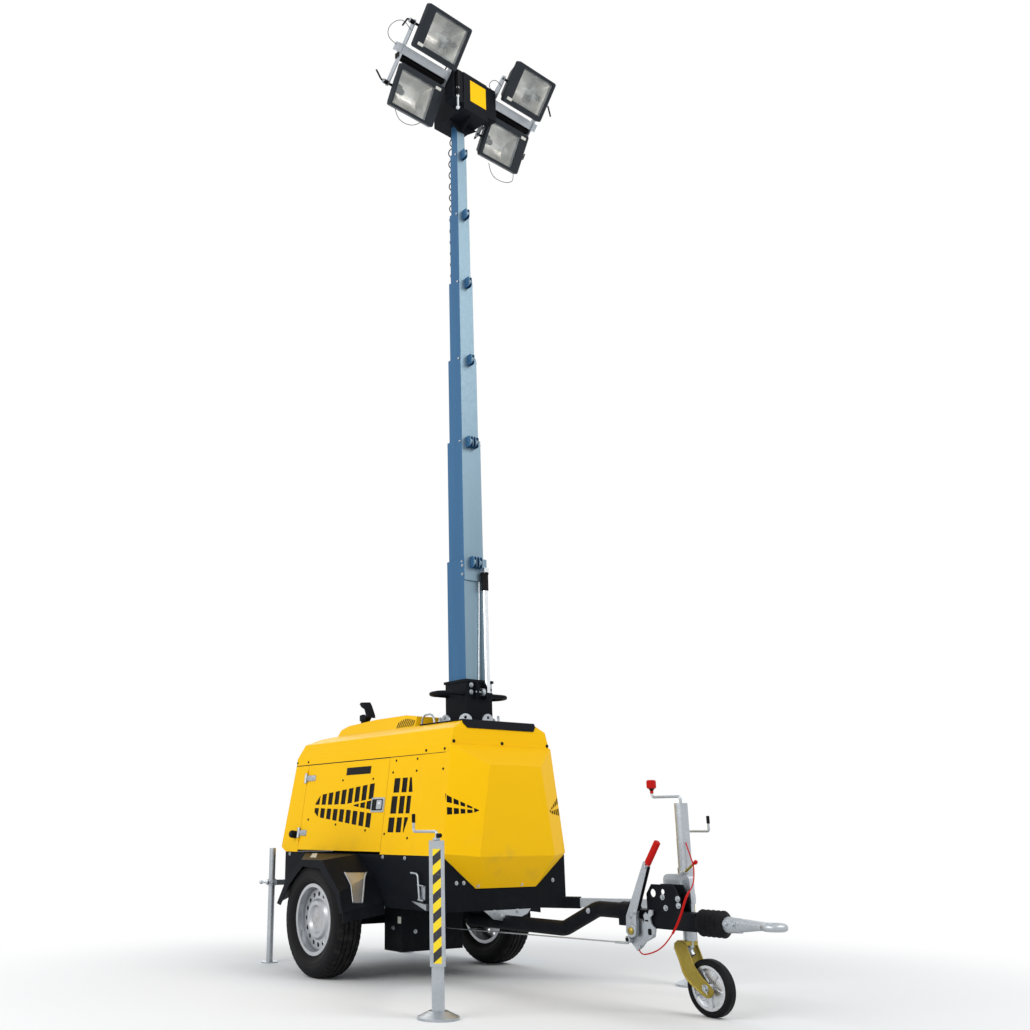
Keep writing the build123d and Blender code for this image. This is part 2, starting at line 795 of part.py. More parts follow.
# Bearing ring with half-round lugs round the mast
with BuildPart() as lug_ring:
    with BuildSketch(Plane.XY.offset(ring_bottom_z)):
        with Locations((mast_x, 0)):
            Circle(lug_circle + 12)
            Circle(ring_bore, mode=Mode.SUBTRACT)
    extrude(amount=ring_sheet)
    for k in range(8):
        a = math.radians(45 * k)
        tangent = Plane(
            origin=(
                mast_x + lug_circle * math.cos(a), lug_circle * math.sin(a), ring_bottom_z + ring_sheet,
            ),
            x_dir=(-math.sin(a), math.cos(a), 0),
            z_dir=(math.cos(a), math.sin(a), 0),
        )
        with BuildSketch(tangent):
            with BuildLine():
                Line((-35, 0), (-35, 3))
                ThreePointArc((-35, 3), (0, 38), (35, 3))
                Line((35, 3), (35, 0))
                Line((35, 0), (-35, 0))
            make_face()
            with Locations((0, 18)):
                Circle(8, mode=Mode.SUBTRACT)
        extrude(amount=5, both=True)
lug_ring.part.label = "lug_ring"
export_step(lug_ring.part, "parts/lug_ring.step")

# Exhaust stub with its hinged rain flap, standing open
exhaust_x = axle_x - 330.0
exhaust_y = -100.0
exhaust_radius = 22.0
with BuildPart() as exhaust_cap:
    with Locations((exhaust_x, exhaust_y, line_at(hump_side[1:6], exhaust_x + exhaust_radius) + seat_gap)):
        Cylinder(exhaust_radius, 55, align=(Align.CENTER, Align.CENTER, Align.MIN))
        Cylinder(exhaust_radius + 4, 6, align=(Align.CENTER, Align.CENTER, Align.MIN))
    with Locations((exhaust_x, exhaust_y, 1391)):
        Cylinder(exhaust_radius + 5, 16, align=(Align.CENTER, Align.CENTER, Align.MIN))
        Box(96, 14, 12, align=(Align.CENTER, Align.CENTER, Align.MIN))
    hinge = Plane(origin=(exhaust_x + 46, exhaust_y, 1397), x_dir=(-0.62, 0, 0.785), z_dir=(0.785, 0, 0.62))
    with BuildSketch(hinge):
        with Locations((78, 0)):
            SlotOverall(120, 52)
        with Locations((10, 0)):
            Rectangle(50, 14)
    extrude(amount=4, both=True)
    with Locations((exhaust_x, exhaust_y, 1320)):
        Cylinder(exhaust_radius - 3, 200, align=(Align.CENTER, Align.CENTER, Align.MIN), mode=Mode.SUBTRACT)
exhaust_cap.part.label = "exhaust_cap"
export_step(exhaust_cap.part, "parts/exhaust_cap.step")

# Cranked round drawbar
with BuildPart() as drawbar:
    with BuildLine() as drawbar_path:
        FilletPolyline(
            (axle_x + 560, 0, drawbar_low_z),
            (axle_x + 1255, 0, drawbar_low_z),
            (axle_x + 1480, 0, drawbar_high_z),
            (housing_rear_x + 80, 0, drawbar_high_z),
            radius=120,
        )
    with BuildSketch(Plane((axle_x + 560, 0, drawbar_low_z), z_dir=(1, 0, 0))):
        Circle(drawbar_radius)
    sweep()
drawbar.part.label = "drawbar"
export_step(drawbar.part, "parts/drawbar.step")

# Overrun housing with its gusset
with BuildPart() as overrun_housing:
    with Locations((housing_rear_x, 0, housing_z)):
        Box(
            housing_front_x - housing_rear_x, 2 * housing_half, 2 * housing_half,
            align=(Align.MIN, Align.CENTER, Align.CENTER),
        )
    with BuildSketch(Plane.YZ.offset(housing_rear_x)):
        with Locations((0, drawbar_high_z)):
            Circle(drawbar_radius + 6)
    extrude(amount=55)
    with BuildSketch(Plane.YZ.offset(housing_rear_x)):
        with Locations((0, drawbar_high_z)):
            Circle(drawbar_radius + seat_gap)
    extrude(amount=80 + seat_gap, mode=Mode.SUBTRACT)
    for y in (-30, 30):
        with BuildSketch(Plane.XZ.offset(y)):
            with BuildLine():
                Polyline(*[(axle_x + x, z) for x, z in (
                    (1810, 405), (1994, 405), (1994, 470), (1960, 520), (1840, 520), (1810, 480),
                )], close=True)
            make_face()
            with Locations((axle_x + 1846, 484)):
                Circle(17, mode=Mode.SUBTRACT)
            with Locations((axle_x + 1901, 491)):
                Circle(12, mode=Mode.SUBTRACT)
        extrude(amount=4, both=True)
    with Locations((housing_front_x, 0, housing_z)):
        Cylinder(
            24 + running_fit, 500, rotation=(0, 90, 0),
            align=(Align.CENTER, Align.CENTER, Align.CENTER), mode=Mode.SUBTRACT,
        )
overrun_housing.part.label = "overrun_housing"
export_step(overrun_housing.part, "parts/overrun_housing.step")

# Rubber bellows over the draw tube
with BuildPart() as bellows:
    with BuildSketch(Plane((0, 0, housing_z), x_dir=(1, 0, 0), z_dir=(0, 1, 0))):
        pitch = (bellows_front_x - housing_front_x - seat_gap) / 5
        crests = []
        for k in range(5):
            x = housing_front_x + seat_gap + k * pitch
            crests += [(x, 42), (x + pitch * 0.5, 53)]
        with BuildLine():
            Polyline(
                (housing_front_x + seat_gap, 24.3), *crests, (bellows_front_x, 34),
                (bellows_front_x, 24.3), close=True,
            )
        make_face()
    revolve(axis=Axis((0, 0, housing_z), (1, 0, 0)))
bellows.part.label = "bellows"
export_step(bellows.part, "parts/bellows.step")

# Towing eye on its draw tube
with BuildPart() as tow_eye:
    tube_rear_x = housing_front_x - 230
    with Locations((tube_rear_x, 0, housing_z)):
        Cylinder(
            24, bellows_front_x + 10 - tube_rear_x, rotation=(0, 90, 0),
            align=(Align.CENTER, Align.CENTER, Align.MIN),
        )
    with Locations((bellows_front_x + seat_gap, 0, housing_z)):
        Cylinder(30, 70, rotation=(0, 90, 0), align=(Align.CENTER, Align.CENTER, Align.MIN))
    with BuildSketch(Plane((bellows_front_x + 60, 0, housing_z), z_dir=(1, 0, 0))):
        Rectangle(46, 46)
    with BuildSketch(Plane((eye_x - 44, 0, eye_z), z_dir=(1, 0, 0))):
        Rectangle(29, 60)
    loft(ruled=True)
    with Locations((eye_x, 0, eye_z - 15)):
        Cylinder(52, 30, align=(Align.CENTER, Align.CENTER, Align.MIN))
    with Locations((eye_x, 0, eye_z - 30)):
        Cylinder(20.5, 60, align=(Align.CENTER, Align.CENTER, Align.MIN), mode=Mode.SUBTRACT)
tow_eye.part.label = "tow_eye"
export_step(tow_eye.part, "parts/tow_eye.step")

# Handbrake lever and its bracket on the right of the housing
with BuildPart() as brake_bracket:
    with BuildSketch(Plane.XZ.offset(housing_half + seat_gap)):
        with BuildLine():
            Polyline(*[(axle_x + x, z) for x, z in (
                (1699, 400), (1835, 400), (1847, 315), (1800, 280), (1742, 244), (1715, 300),
            )], close=True)
        make_face()
    extrude(amount=8)
    with Locations((brake_pivot_x, -housing_half - seat_gap, brake_pivot_z)):
        Cylinder(9, 40, rotation=(90, 0, 0), align=(Align.CENTER, Align.CENTER, Align.MIN))
brake_bracket.part.label = "brake_bracket"
export_step(brake_bracket.part, "parts/brake_bracket.step")

with BuildPart() as brake_lever:
    with BuildSketch(Plane.XZ.offset(housing_half + 18)):
        with Locations((brake_pivot_x, brake_pivot_z)):
            Circle(24)
        with BuildLine():
            Polyline(*[(axle_x + x, z) for x, z in (
                (1715, 318), (1720, 386), (1838, 612), (1866, 606), (1779, 396), (1775, 318),
            )], close=True)
        make_face()
        with Locations((brake_pivot_x, brake_pivot_z)):
            Circle(9 + running_fit, mode=Mode.SUBTRACT)
    extrude(amount=18)
    grip = Plane((axle_x + 1845, -housing_half - 27, 590), z_dir=(70, 0, 98))
    with Locations(grip):
        Cylinder(8, 120, align=(Align.CENTER, Align.CENTER, Align.MIN))
brake_lever.part.label = "brake_lever"
export_step(brake_lever.part, "parts/brake_lever.step")

# Jockey wheel: clamped outer tube, sliding inner tube, fork, wheel
with BuildPart() as jockey_tube:
    with Locations((jockey_x, jockey_y, 450)):
        Cylinder(29, 407, align=(Align.CENTER, Align.CENTER, Align.MIN))
    with Locations((jockey_x, 34 + seat_gap, 480)):
        Box(80, jockey_y - 34, 60, align=(Align.CENTER, Align.MIN, Align.MIN))
    with BuildLine():
        FilletPolyline(
            (jockey_x, jockey_y, 852), (jockey_x, jockey_y, 886),
            (jockey_x - 165, jockey_y, 886), (jockey_x - 165, jockey_y, 960), radius=14,
        )
    with BuildSketch(Plane((jockey_x, jockey_y, 852))):
        Circle(6)
    sweep()
    with Locations((jockey_x, jockey_y, 450)):
        Cylinder(25.5, 400, align=(Align.CENTER, Align.CENTER, Align.MIN), mode=Mode.SUBTRACT)
jockey_tube.part.label = "jockey_tube"
export_step(jockey_tube.part, "parts/jockey_tube.step")

with BuildPart() as jockey_leg:
    with Locations((jockey_x, jockey_y, 290)):
        Cylinder(25, 400, align=(Align.CENTER, Align.CENTER, Align.MIN))
    with Locations((jockey_x, jockey_y, 262)):
        Cylinder(12, 28, align=(Align.CENTER, Align.CENTER, Align.MIN))
jockey_leg.part.label = "jockey_leg"
export_step(jockey_leg.part, "parts/jockey_leg.step")

with BuildPart() as jockey_fork:
    with Locations((jockey_x, jockey_y, 262)):
        Box(76, 76, 27.7, align=(Align.CENTER, Align.CENTER, Align.MIN))
        Cylinder(12.05, 27.7, align=(Align.CENTER, Align.CENTER, Align.MIN), mode=Mode.SUBTRACT)
    for y in (jockey_y - 35.5, jockey_y + 35.5):
        with BuildSketch(Plane.XZ.offset(-y)):
            with BuildLine():
                Polyline(*[(axle_x + x, z) for x, z in (
                    (1850, 289), (1958, 289), (1982, 195), (2037, 102),
                    (2009, 84), (1983, 84), (1885, 153), (1852, 250),
                )], close=True)
            make_face()
        extrude(amount=2.5, both=True)
    with Locations((jockey_wheel_x, jockey_y, jockey_wheel_radius)):
        Cylinder(7, 76, rotation=(90, 0, 0))
jockey_fork.part.label = "jockey_fork"
export_step(jockey_fork.part, "parts/jockey_fork.step")

with BuildPart() as jockey_wheel:
    wheel_plane = Plane((jockey_wheel_x, jockey_y, jockey_wheel_radius), z_dir=(0, -1, 0))
    with Locations(wheel_plane):
        Cylinder(88, 40)
        Cylinder(76, 40, mode=Mode.SUBTRACT)
        Cylinder(18, 54)
        with PolarLocations(46, 5):
            Box(64, 16, 22)
        Cylinder(7.05, 60, mode=Mode.SUBTRACT)
jockey_wheel.part.label = "jockey_wheel"
export_step(jockey_wheel.part, "parts/jockey_wheel.step")

with BuildPart() as jockey_tyre:
    with Locations((jockey_wheel_x, jockey_y, jockey_wheel_radius)):
        Cylinder(jockey_wheel_radius, 46, rotation=(90, 0, 0))
    fillet(jockey_tyre.edges().filter_by(GeomType.CIRCLE), 12)
    with Locations((jockey_wheel_x, jockey_y, jockey_wheel_radius)):
        Cylinder(88.3, 46, rotation=(90, 0, 0), mode=Mode.SUBTRACT)
jockey_tyre.part.label = "jockey_tyre"
export_step(jockey_tyre.part, "parts/jockey_tyre.step")

# Front stabilizers: sliding beam with the leg's outer tube, and the leg itself
for side, name, reach in ((-1, "right", right_reach), (1, "left", left_reach)):
    beam_length = right_reach - beam_in
    with BuildPart() as outrigger:
        with BuildSketch(arm_plane(reach - beam_length, side, arm_z)):
            Rectangle(beam_size, beam_size)
        extrude(amount=beam_length)
        with BuildSketch(leg_plane(reach, side, leg_outer_bottom)):
            Rectangle(leg_outer_size, leg_outer_size)
        extrude(amount=leg_outer_top - leg_outer_bottom)
        with BuildSketch(leg_plane(reach, side, leg_outer_bottom)):
            Rectangle(leg_inner_size + 1.0, leg_inner_size + 1.0)
        extrude(amount=leg_outer_top - leg_outer_bottom - 6, mode=Mode.SUBTRACT)
        crank = [arm_at(reach, side, z) for z in (leg_outer_top - 3, leg_outer_top + 37)]
        arm = Vector(side * 170, 0, 0)
        with BuildLine():
            FilletPolyline(*crank, crank[1] + arm, crank[1] + arm + Vector(0, 0, 72), radius=10)
        with BuildSketch(Plane(crank[0])):
            Circle(6)
        sweep()
    outrigger.part.label = f"outrigger_{name}"
    export_step(outrigger.part, f"parts/outrigger_{name}.step")

    with BuildPart() as leg:
        with BuildSketch(leg_plane(reach, side, 30)):
            Rectangle(leg_inner_size, leg_inner_size)
        extrude(amount=470)
        with BuildSketch(leg_plane(reach, side, 0)):
            Circle(foot_radius)
        extrude(amount=10)
        with BuildSketch(leg_plane(reach, side, 10)):
            Circle(foot_radius)
        with BuildSketch(leg_plane(reach, side, 32)):
            Circle(40)
        loft()
    leg.part.label = f"leg_{name}"
    export_step(leg.part, f"parts/leg_{name}.step")

# Rear prop stands in their clamps
with BuildPart() as rear_clamps:
    with Locations((rear_leg_x, rear_leg_y, 445)):
        Cylinder(27, 36)
    with Locations((skirt_rear_x, skirt_half + seat_gap, 445)):
        Box(40, rear_leg_y - skirt_half - 10, 30, align=(Align.MIN, Align.MIN, Align.CENTER))
    with Locations((rear_leg_x, rear_leg_y, 445)):
        Cylinder(rear_leg_radius + 0.3, 60, mode=Mode.SUBTRACT)
    mirror(about=Plane.XZ)
rear_clamps.part.label = "rear_clamps"
export_step(rear_clamps.part, "parts/rear_clamps.step")

for side, name in ((-1, "right"), (1, "left")):
    with BuildPart() as prop:
        with Locations((rear_leg_x, side * rear_leg_y, 0)):
            Cylinder(50, 6, align=(Align.CENTER, Align.CENTER, Align.MIN))
            Cylinder(rear_leg_radius, 640, align=(Align.CENTER, Align.CENTER, Align.MIN))
    prop.part.label = f"prop_{name}"
    export_step(prop.part, f"parts/prop_{name}.step")

# Turret sleeve with its turning handles
with BuildPart() as turret:
    with Locations((mast_x, 0, turret_bottom_z)):
        Cylinder(130, 10, align=(Align.CENTER, Align.CENTER, Align.MIN))
    with Locations((mast_x, 0, turret_bottom_z)):
        Box(
            turret_size, turret_size, turret_top_z - turret_bottom_z,
            align=(Align.CENTER, Align.CENTER, Align.MIN),
        )
    for side in (-1, 1):
        with BuildLine():
            FilletPolyline(
                (mast_x - 70, side * 85, handle_z), (mast_x - 70, side * 235, handle_z),
                (mast_x + 70, side * 235, handle_z), (mast_x + 70, side * 85, handle_z), radius=60,
            )
        with BuildSketch(Plane((mast_x - 70, side * 85, handle_z), z_dir=(0, side, 0))):
            Circle(11)
        sweep()
    with Locations((mast_x, 0, turret_top_z)):
        Box(
            turret_size + 14, turret_size + 14, 14,
            align=(Align.CENTER, Align.CENTER, Align.MAX),
        )
    with Locations((mast_x + cylinder_x, cylinder_y, turret_top_z)):
        Cylinder(cylinder_radius + 3, 60, mode=Mode.SUBTRACT)
    with Locations((mast_x + turret_size / 2, cylinder_y, 1440)):
        Box(34, 44, 20, align=(Align.MIN, Align.CENTER, Align.MIN))
    with Locations((mast_x, 0, 1290)):
        Box(
            155 + 2 * seat_gap, 155 + 2 * seat_gap, 300,
            align=(Align.CENTER, Align.CENTER, Align.MIN), mode=Mode.SUBTRACT,
        )
turret.part.label = "turret"
export_step(turret.part, "parts/turret.step")

# Telescopic mast
for number, (size, top_z, length, pulley_ys) in enumerate(mast_sections[1:], start=1):
    with BuildPart() as mast_section:
        with BuildSketch(Plane.XY.offset(top_z - length)):
            with Locations((mast_x, 0)):
                Rectangle(size, size)
                Rectangle(size - 2 * mast_wall, size - 2 * mast_wall, mode=Mode.SUBTRACT)
        extrude(amount=length)
        bore = size - 2 * mast_wall
        if number < len(mast_sections) - 1:
            guide_bore = mast_sections[number + 1][0] + 2 * seat_gap
            with BuildSketch(Plane.XY.offset(top_z - guide_length)):
                with Locations((mast_x, 0)):
                    Rectangle(bore, bore)
                    Rectangle(guide_bore, guide_bore, mode=Mode.SUBTRACT)
            extrude(amount=guide_length)
        if number > 1:
            shoe = mast_sections[number - 1][0] - 2 * mast_wall - 2 * seat_gap
            with BuildSketch(Plane.XY.offset(top_z - length)):
                with Locations((mast_x, 0)):
                    Rectangle(shoe, shoe)
                    Rectangle(bore, bore, mode=Mode.SUBTRACT)
            extrude(amount=guide_length)
        if number == 1:
            with BuildSketch(Plane.XY.offset(mast_foot_z)):
                with Locations((mast_x, 0)):
                    Rectangle(size, size)
                    Circle(20 + running_fit, mode=Mode.SUBTRACT)
            extrude(amount=top_z - length - mast_foot_z)
            with Locations((mast_x - size / 2, 35, cable_foot_z)):
                Box(72, 60, 20, align=(Align.MAX, Align.CENTER, Align.MAX))
            with Locations((mast_x + size / 2, 0, top_z - 130)):
                Box(head_plate_sheet, 160, 135, align=(Align.MIN, Align.CENTER, Align.MIN))
        for y in pulley_ys:
            for cheek_y in (y - 10, y + 10):
                with BuildSketch(Plane.XZ.offset(-cheek_y)) as cheek:
                    with Locations((mast_x + size / 2 - 1, top_z - 60)):
                        Rectangle(pulley_reach + 1, 65, align=(Align.MIN, Align.MIN))
                    fillet(cheek.vertices().group_by(Axis.X)[-1], 14)
                extrude(amount=1.5, both=True)
            with Locations((mast_x + size / 2 + pulley_radius + 3, y, top_z - 28)):
                Cylinder(pulley_radius, 12, rotation=(90, 0, 0))
                Cylinder(5, 26, rotation=(90, 0, 0))
    mast_section.part.label = f"mast_section_{number}"
    export_step(mast_section.part, f"parts/mast_section_{number}.step")

# Lifting cylinder beside the first section
with BuildPart() as mast_cylinder:
    plate_x = mast_x + mast_sections[1][0] / 2 + head_plate_sheet
    with Locations((mast_x + cylinder_x, cylinder_y, 1460 + seat_gap)):
        Cylinder(cylinder_radius, 700, align=(Align.CENTER, Align.CENTER, Align.MIN))
    with Locations((plate_x + seat_gap, cylinder_y, 2130)):
        Box(42, 30, 30, align=(Align.MIN, Align.CENTER, Align.MIN))
mast_cylinder.part.label = "mast_cylinder"
export_step(mast_cylinder.part, "parts/mast_cylinder.step")

# Coiled supply cable, at its coil's outside diameter
with BuildPart() as coiled_cable:
    with Locations((mast_x - 115, 35, cable_foot_z)):
        Cylinder(
            cable_radius, head_bottom_z - cable_foot_z, align=(Align.CENTER, Align.CENTER, Align.MIN)
        )
coiled_cable.part.label = "coiled_cable"
export_step(coiled_cable.part, "parts/coiled_cable.step")

# Lamp head box on the top section
with BuildPart() as head_box:
    with BuildSketch(head_plane(30, 0, head_bottom_z)):
        Rectangle(280, 2 * head_box_half)
    extrude(amount=270)
    for side in (-1, 1):
        with BuildSketch(head_plane(bar_x, side * (head_box_half + column_width / 2), bar_z - 174)):
            Rectangle(80, column_width)
        extrude(amount=230)
head_box.part.label = "head_box"
export_step(head_box.part, "parts/head_box.step")

# Lamp bars with the lamps' brackets
with BuildPart() as lamp_bars:
    for side in (-1, 1):
        bar = lamp_plane(side * (bar_inner + bar_outer) / 2, 0, frame_tilt)
        with Locations(bar.offset(-20)):
            Box(bar_outer - bar_inner, bar_size, bar_size)
        for reach in (upper_reach, -lower_reach):
            for edge in (-1, 1):
                strap = lamp_plane(side * lamp_y + edge * (lamp_width / 2 + 9), reach / 2, frame_tilt)
                along = Plane(strap.offset(-6).origin, x_dir=strap.y_dir, z_dir=strap.x_dir)
                with BuildSketch(along):
                    SlotOverall(abs(reach) + 40, 40)
                extrude(amount=3, both=True)
                pin = lamp_plane(side * lamp_y + edge * (lamp_width / 2 + 9), reach, frame_tilt)
                with Locations(Plane(pin.origin, z_dir=pin.x_dir)):
                    Cylinder(8 + running_fit, 12, mode=Mode.SUBTRACT)
lamp_bars.part.label = "lamp_bars"
export_step(lamp_bars.part, "parts/lamp_bars.step")

# Floodlights: bezel with its window, tapered bowl and cooling ribs; the lower ones hang inverted
lamps = (
    ("name", "across", "reach", "tilt", "over"),
    ("upper_right", -lamp_y, upper_reach, upper_tilt, 1),
    ("upper_left", lamp_y, upper_reach, upper_tilt, 1),
    ("lower_right", -lamp_y, -lower_reach, lower_tilt, -1),
    ("lower_left", lamp_y, -lower_reach, lower_tilt, -1),
)
bezel_sheet = 30.0
window = (22.5, 6.0)
for name, across, reach, tilt, over in lamps[1:]:
    face = lamp_plane(across, reach, tilt)
    with BuildPart() as lamp:
        with BuildSketch(face.offset(lamp_face - bezel_sheet)) as bezel:
            Rectangle(lamp_width, lamp_height)
            fillet(bezel.vertices(), 14)
            with Locations((window[0] * over, window[1] * over)):
                Rectangle(273, 214, mode=Mode.SUBTRACT)
        extrude(amount=bezel_sheet)
        with BuildSketch(face.offset(lamp_face - bezel_sheet)):
            Rectangle(lamp_width - 20, lamp_height - 20)
        with BuildSketch(face.offset(-lamp_back)):
            Rectangle(230, 150)
        loft()
        for k in range(-2, 3):
            rib = Plane(face.origin + face.x_dir * 40 * k, x_dir=face.y_dir, z_dir=face.x_dir)
            with BuildSketch(rib):
                with BuildLine():
                    Polyline((-100, 20), (-75, -78), (75, -78), (100, 20), close=True)
                make_face()
            extrude(amount=2, both=True)
        with Locations(Plane(face.origin, z_dir=face.x_dir)):
            Cylinder(8, lamp_width + 28)
        with BuildSketch(face.offset(lamp_face - bezel_sheet)):
            with Locations((window[0] * over, window[1] * over)):
                Rectangle(265, 206)
        with BuildSketch(face.offset(-40)):
            with Locations((window[0] * over, window[1] * over)):
                Rectangle(190, 130)
        loft(mode=Mode.SUBTRACT)
    lamp.part.label = f"lamp_{name}"
    export_step(lamp.part, f"parts/lamp_{name}.step")
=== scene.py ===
# Mobile light tower: finishes, small pieces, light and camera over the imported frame.
# Metres. +X runs forward to the towing eye, +Y to the left, +Z up. The ground is Z = 0.
import json
import math

import bmesh
import bpy
from mathutils import Matrix, Vector


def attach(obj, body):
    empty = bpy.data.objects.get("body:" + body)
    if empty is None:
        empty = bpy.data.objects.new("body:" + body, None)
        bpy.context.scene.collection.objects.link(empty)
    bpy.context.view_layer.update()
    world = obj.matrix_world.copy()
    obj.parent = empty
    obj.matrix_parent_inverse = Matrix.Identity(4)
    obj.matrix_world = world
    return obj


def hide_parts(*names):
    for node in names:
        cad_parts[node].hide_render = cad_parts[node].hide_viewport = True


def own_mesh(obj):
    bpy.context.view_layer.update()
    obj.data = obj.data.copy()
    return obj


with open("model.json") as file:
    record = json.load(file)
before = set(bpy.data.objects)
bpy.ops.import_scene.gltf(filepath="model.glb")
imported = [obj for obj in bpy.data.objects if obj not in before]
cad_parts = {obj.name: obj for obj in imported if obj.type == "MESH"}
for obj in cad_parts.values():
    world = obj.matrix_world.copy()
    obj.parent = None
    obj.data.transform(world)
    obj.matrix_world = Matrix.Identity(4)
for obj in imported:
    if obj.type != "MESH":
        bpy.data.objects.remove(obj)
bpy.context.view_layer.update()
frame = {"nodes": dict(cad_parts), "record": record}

# Places on the trailer
AXLE_X = -0.845
AXLE_Z = 0.289
MAST_AHEAD = 0.560
MAST_X = AXLE_X + MAST_AHEAD
TRACK_HALF = 0.576
SILL_Z, SILL_HALF = 0.619, 0.405
SEAM_Z, SEAM_HALF = 1.126, 0.335
SIDE_LEAN = math.atan2(SILL_HALF - SEAM_HALF, SEAM_Z - SILL_Z)
LEG_RIGHT = (AXLE_X + 1.3787, -0.8363)
LEG_LEFT = (AXLE_X + 1.3177, 0.7894)
RIGHT, LEFT = -1, 1
SIDES = ((RIGHT, "right"), (LEFT, "left"))
LEGS = ((LEG_RIGHT, RIGHT, "right"), (LEG_LEFT, LEFT, "left"))
ARM_ANGLE = math.radians(37.5)
JOCKEY_Y = 0.12
HEAD_TURN = math.radians(6)
HEAD_AHEAD = Vector((math.cos(HEAD_TURN), math.sin(HEAD_TURN), 0))
HEAD_LEFT = Vector((-math.sin(HEAD_TURN), math.cos(HEAD_TURN), 0))
FRAME_TILT = math.radians(41)
HEAD_FRONT, HEAD_Z = 0.1702, 5.262
BAR_FORWARD, BAR_Z = 0.125, 5.334

# Camera, from the photograph's viewing angle
CAMERA_PLACE = (4.374, -3.676, 0.742)
CAMERA_HEADING = math.radians(145.651)
CAMERA_PITCH = math.radians(16.486)
CAMERA_LENS = 37.23
CAMERA_SHIFT_X = 0.1164


# Shader maths

class Wire:
    """An output in a material's tree. Arithmetic on it adds Math nodes."""

    def __init__(self, finish, socket):
        self.finish = finish
        self.socket = socket

    def maths(self, operation, first, second):
        return self.finish.node("Math", {"operation": operation}, {0: first, 1: second})

    def __add__(self, other):
        return self.maths("ADD", self, other)

    __radd__ = __add__

    def __mul__(self, other):
        return self.maths("MULTIPLY", self, other)

    __rmul__ = __mul__

    def __sub__(self, other):
        return self.maths("SUBTRACT", self, other)

    def __rsub__(self, other):
        return self.maths("SUBTRACT", other, self)

    def __truediv__(self, other):
        return self.maths("DIVIDE", self, other)

    def __lt__(self, other):
        return self.maths("LESS_THAN", self, other)

    def __mod__(self, other):
        return self.maths("FLOORED_MODULO", self, other)

    def __pow__(self, other):
        return self.maths("POWER", self, other)


class Finish:
    """A material: one principled shader and what varies it over the surface."""

    def __init__(self, name, colour, constants=None):
        self.material = bpy.data.materials.new(name)
        self.material.use_nodes = True
        self.tree = self.material.node_tree
        self.shader = self.tree.nodes["Principled BSDF"]
        self.feed("Base Color", colour)
        for socket, value in (constants or {}).items():
            self.feed(socket, value)

    def node(self, kind, settings=None, sockets=None, output=0):
        """Adds any node: its settings first, then its sockets' values or links."""
        node = self.tree.nodes.new("ShaderNode" + kind)
        for setting, value in (settings or {}).items():
            setattr(node, setting, value)
        for socket, value in (sockets or {}).items():
            if isinstance(value, Wire):
                self.tree.links.new(value.socket, node.inputs[socket])
            else:
                node.inputs[socket].default_value = value
        return Wire(self, node.outputs[output])

    def feed(self, socket, value):
        """Gives the shader's socket a link, a number or a colour."""
        if isinstance(value, Wire):
            self.tree.links.new(value.socket, self.shader.inputs[socket])
        elif isinstance(value, tuple):
            self.shader.inputs[socket].default_value = (*value, 1)
        else:
            self.shader.inputs[socket].default_value = value

    def place(self, scale=(1, 1, 1)):
        here = self.node("TexCoord", output="Object")
        return self.node("Mapping", None, {"Vector": here, "Scale": scale})

    def axis(self, letter):
        return self.node("SeparateXYZ", None, {0: self.place()}, output=letter)

    def from_axle(self):
        """Distance from the wheels' axle, seen from the side."""
        return ((self.axis("X") - AXLE_X) ** 2 + (self.axis("Z") - AXLE_Z) ** 2) ** 0.5

    def noise(self, scale, detail=3.0, stretch=(1, 1, 1)):
        return self.node("TexNoise", None, {
            "Vector": self.place(stretch), "Scale": scale, "Detail": detail,
        })

    def cells(self, scale, stretch=(1, 1, 1)):
        colour = self.node("TexVoronoi", None, {
            "Vector": self.place(stretch), "Scale": scale,
        }, output="Color")
        return self.node("SeparateColor", None, {0: colour})

    def ramp(self, value, low, high):
        """Takes value from low..high to 0..1, smoothly and clamped."""
        return self.node("MapRange", {"interpolation_type": "SMOOTHSTEP"}, {0: value, 1: low, 2: high})

    def mix(self, factor, first, second):
        colours = [(*c, 1) if isinstance(c, tuple) else c for c in (first, second)]
        return self.node("Mix", {"data_type": "RGBA"}, {
            0: factor, 6: colours[0], 7: colours[1],
        }, output=2)

    def rounded(self, radius):
        return self.node("Bevel", {"samples": 4}, {"Radius": radius})

    def edges(self, radius):
        """Mask of the worn outer edges."""
        here = self.node("NewGeometry", output="Normal")
        agree = self.node("VectorMath", {"operation": "DOT_PRODUCT"}, {
            0: here, 1: self.rounded(radius),
        }, output="Value")
        return self.ramp(agree, 0.985, 0.90)

    def relief(self, height, depth, under=None):
        sockets = {"Height": height, "Distance": depth, "Strength": 1.0}
        if under is not None:
            sockets["Normal"] = under
        self.feed("Normal", self.node("Bump", None, sockets))


def make_yellow_paint():
    paint = Finish("yellow_paint", (0.9, 0.5, 0.01), {
        "Coat Roughness": 0.12, "Specular IOR Level": 0.07,
    })
    tone = paint.mix(paint.noise(1.4, 2.0), (0.92, 0.515, 0.002), (0.99, 0.575, 0.004))
    edge = paint.edges(0.004) * paint.noise(30, 4.0)
    dust = paint.ramp(paint.axis("Z"), 0.80, 0.56) * paint.ramp(paint.noise(9, 6.0), 0.5, 0.8)
    worn = paint.mix(edge * 0.5, tone, (0.99, 0.66, 0.10))
    paint.feed("Base Color", paint.mix(dust * 0.22, worn, (0.42, 0.27, 0.10)))
    paint.feed("Roughness", 0.46 + paint.noise(26, 4.0) * 0.12 + dust * 0.2)
    paint.feed("Coat Weight", 0.05 - dust * 0.04)
    paint.relief(paint.noise(520, 2.0), 0.00012, paint.rounded(0.0022))
    return paint.material


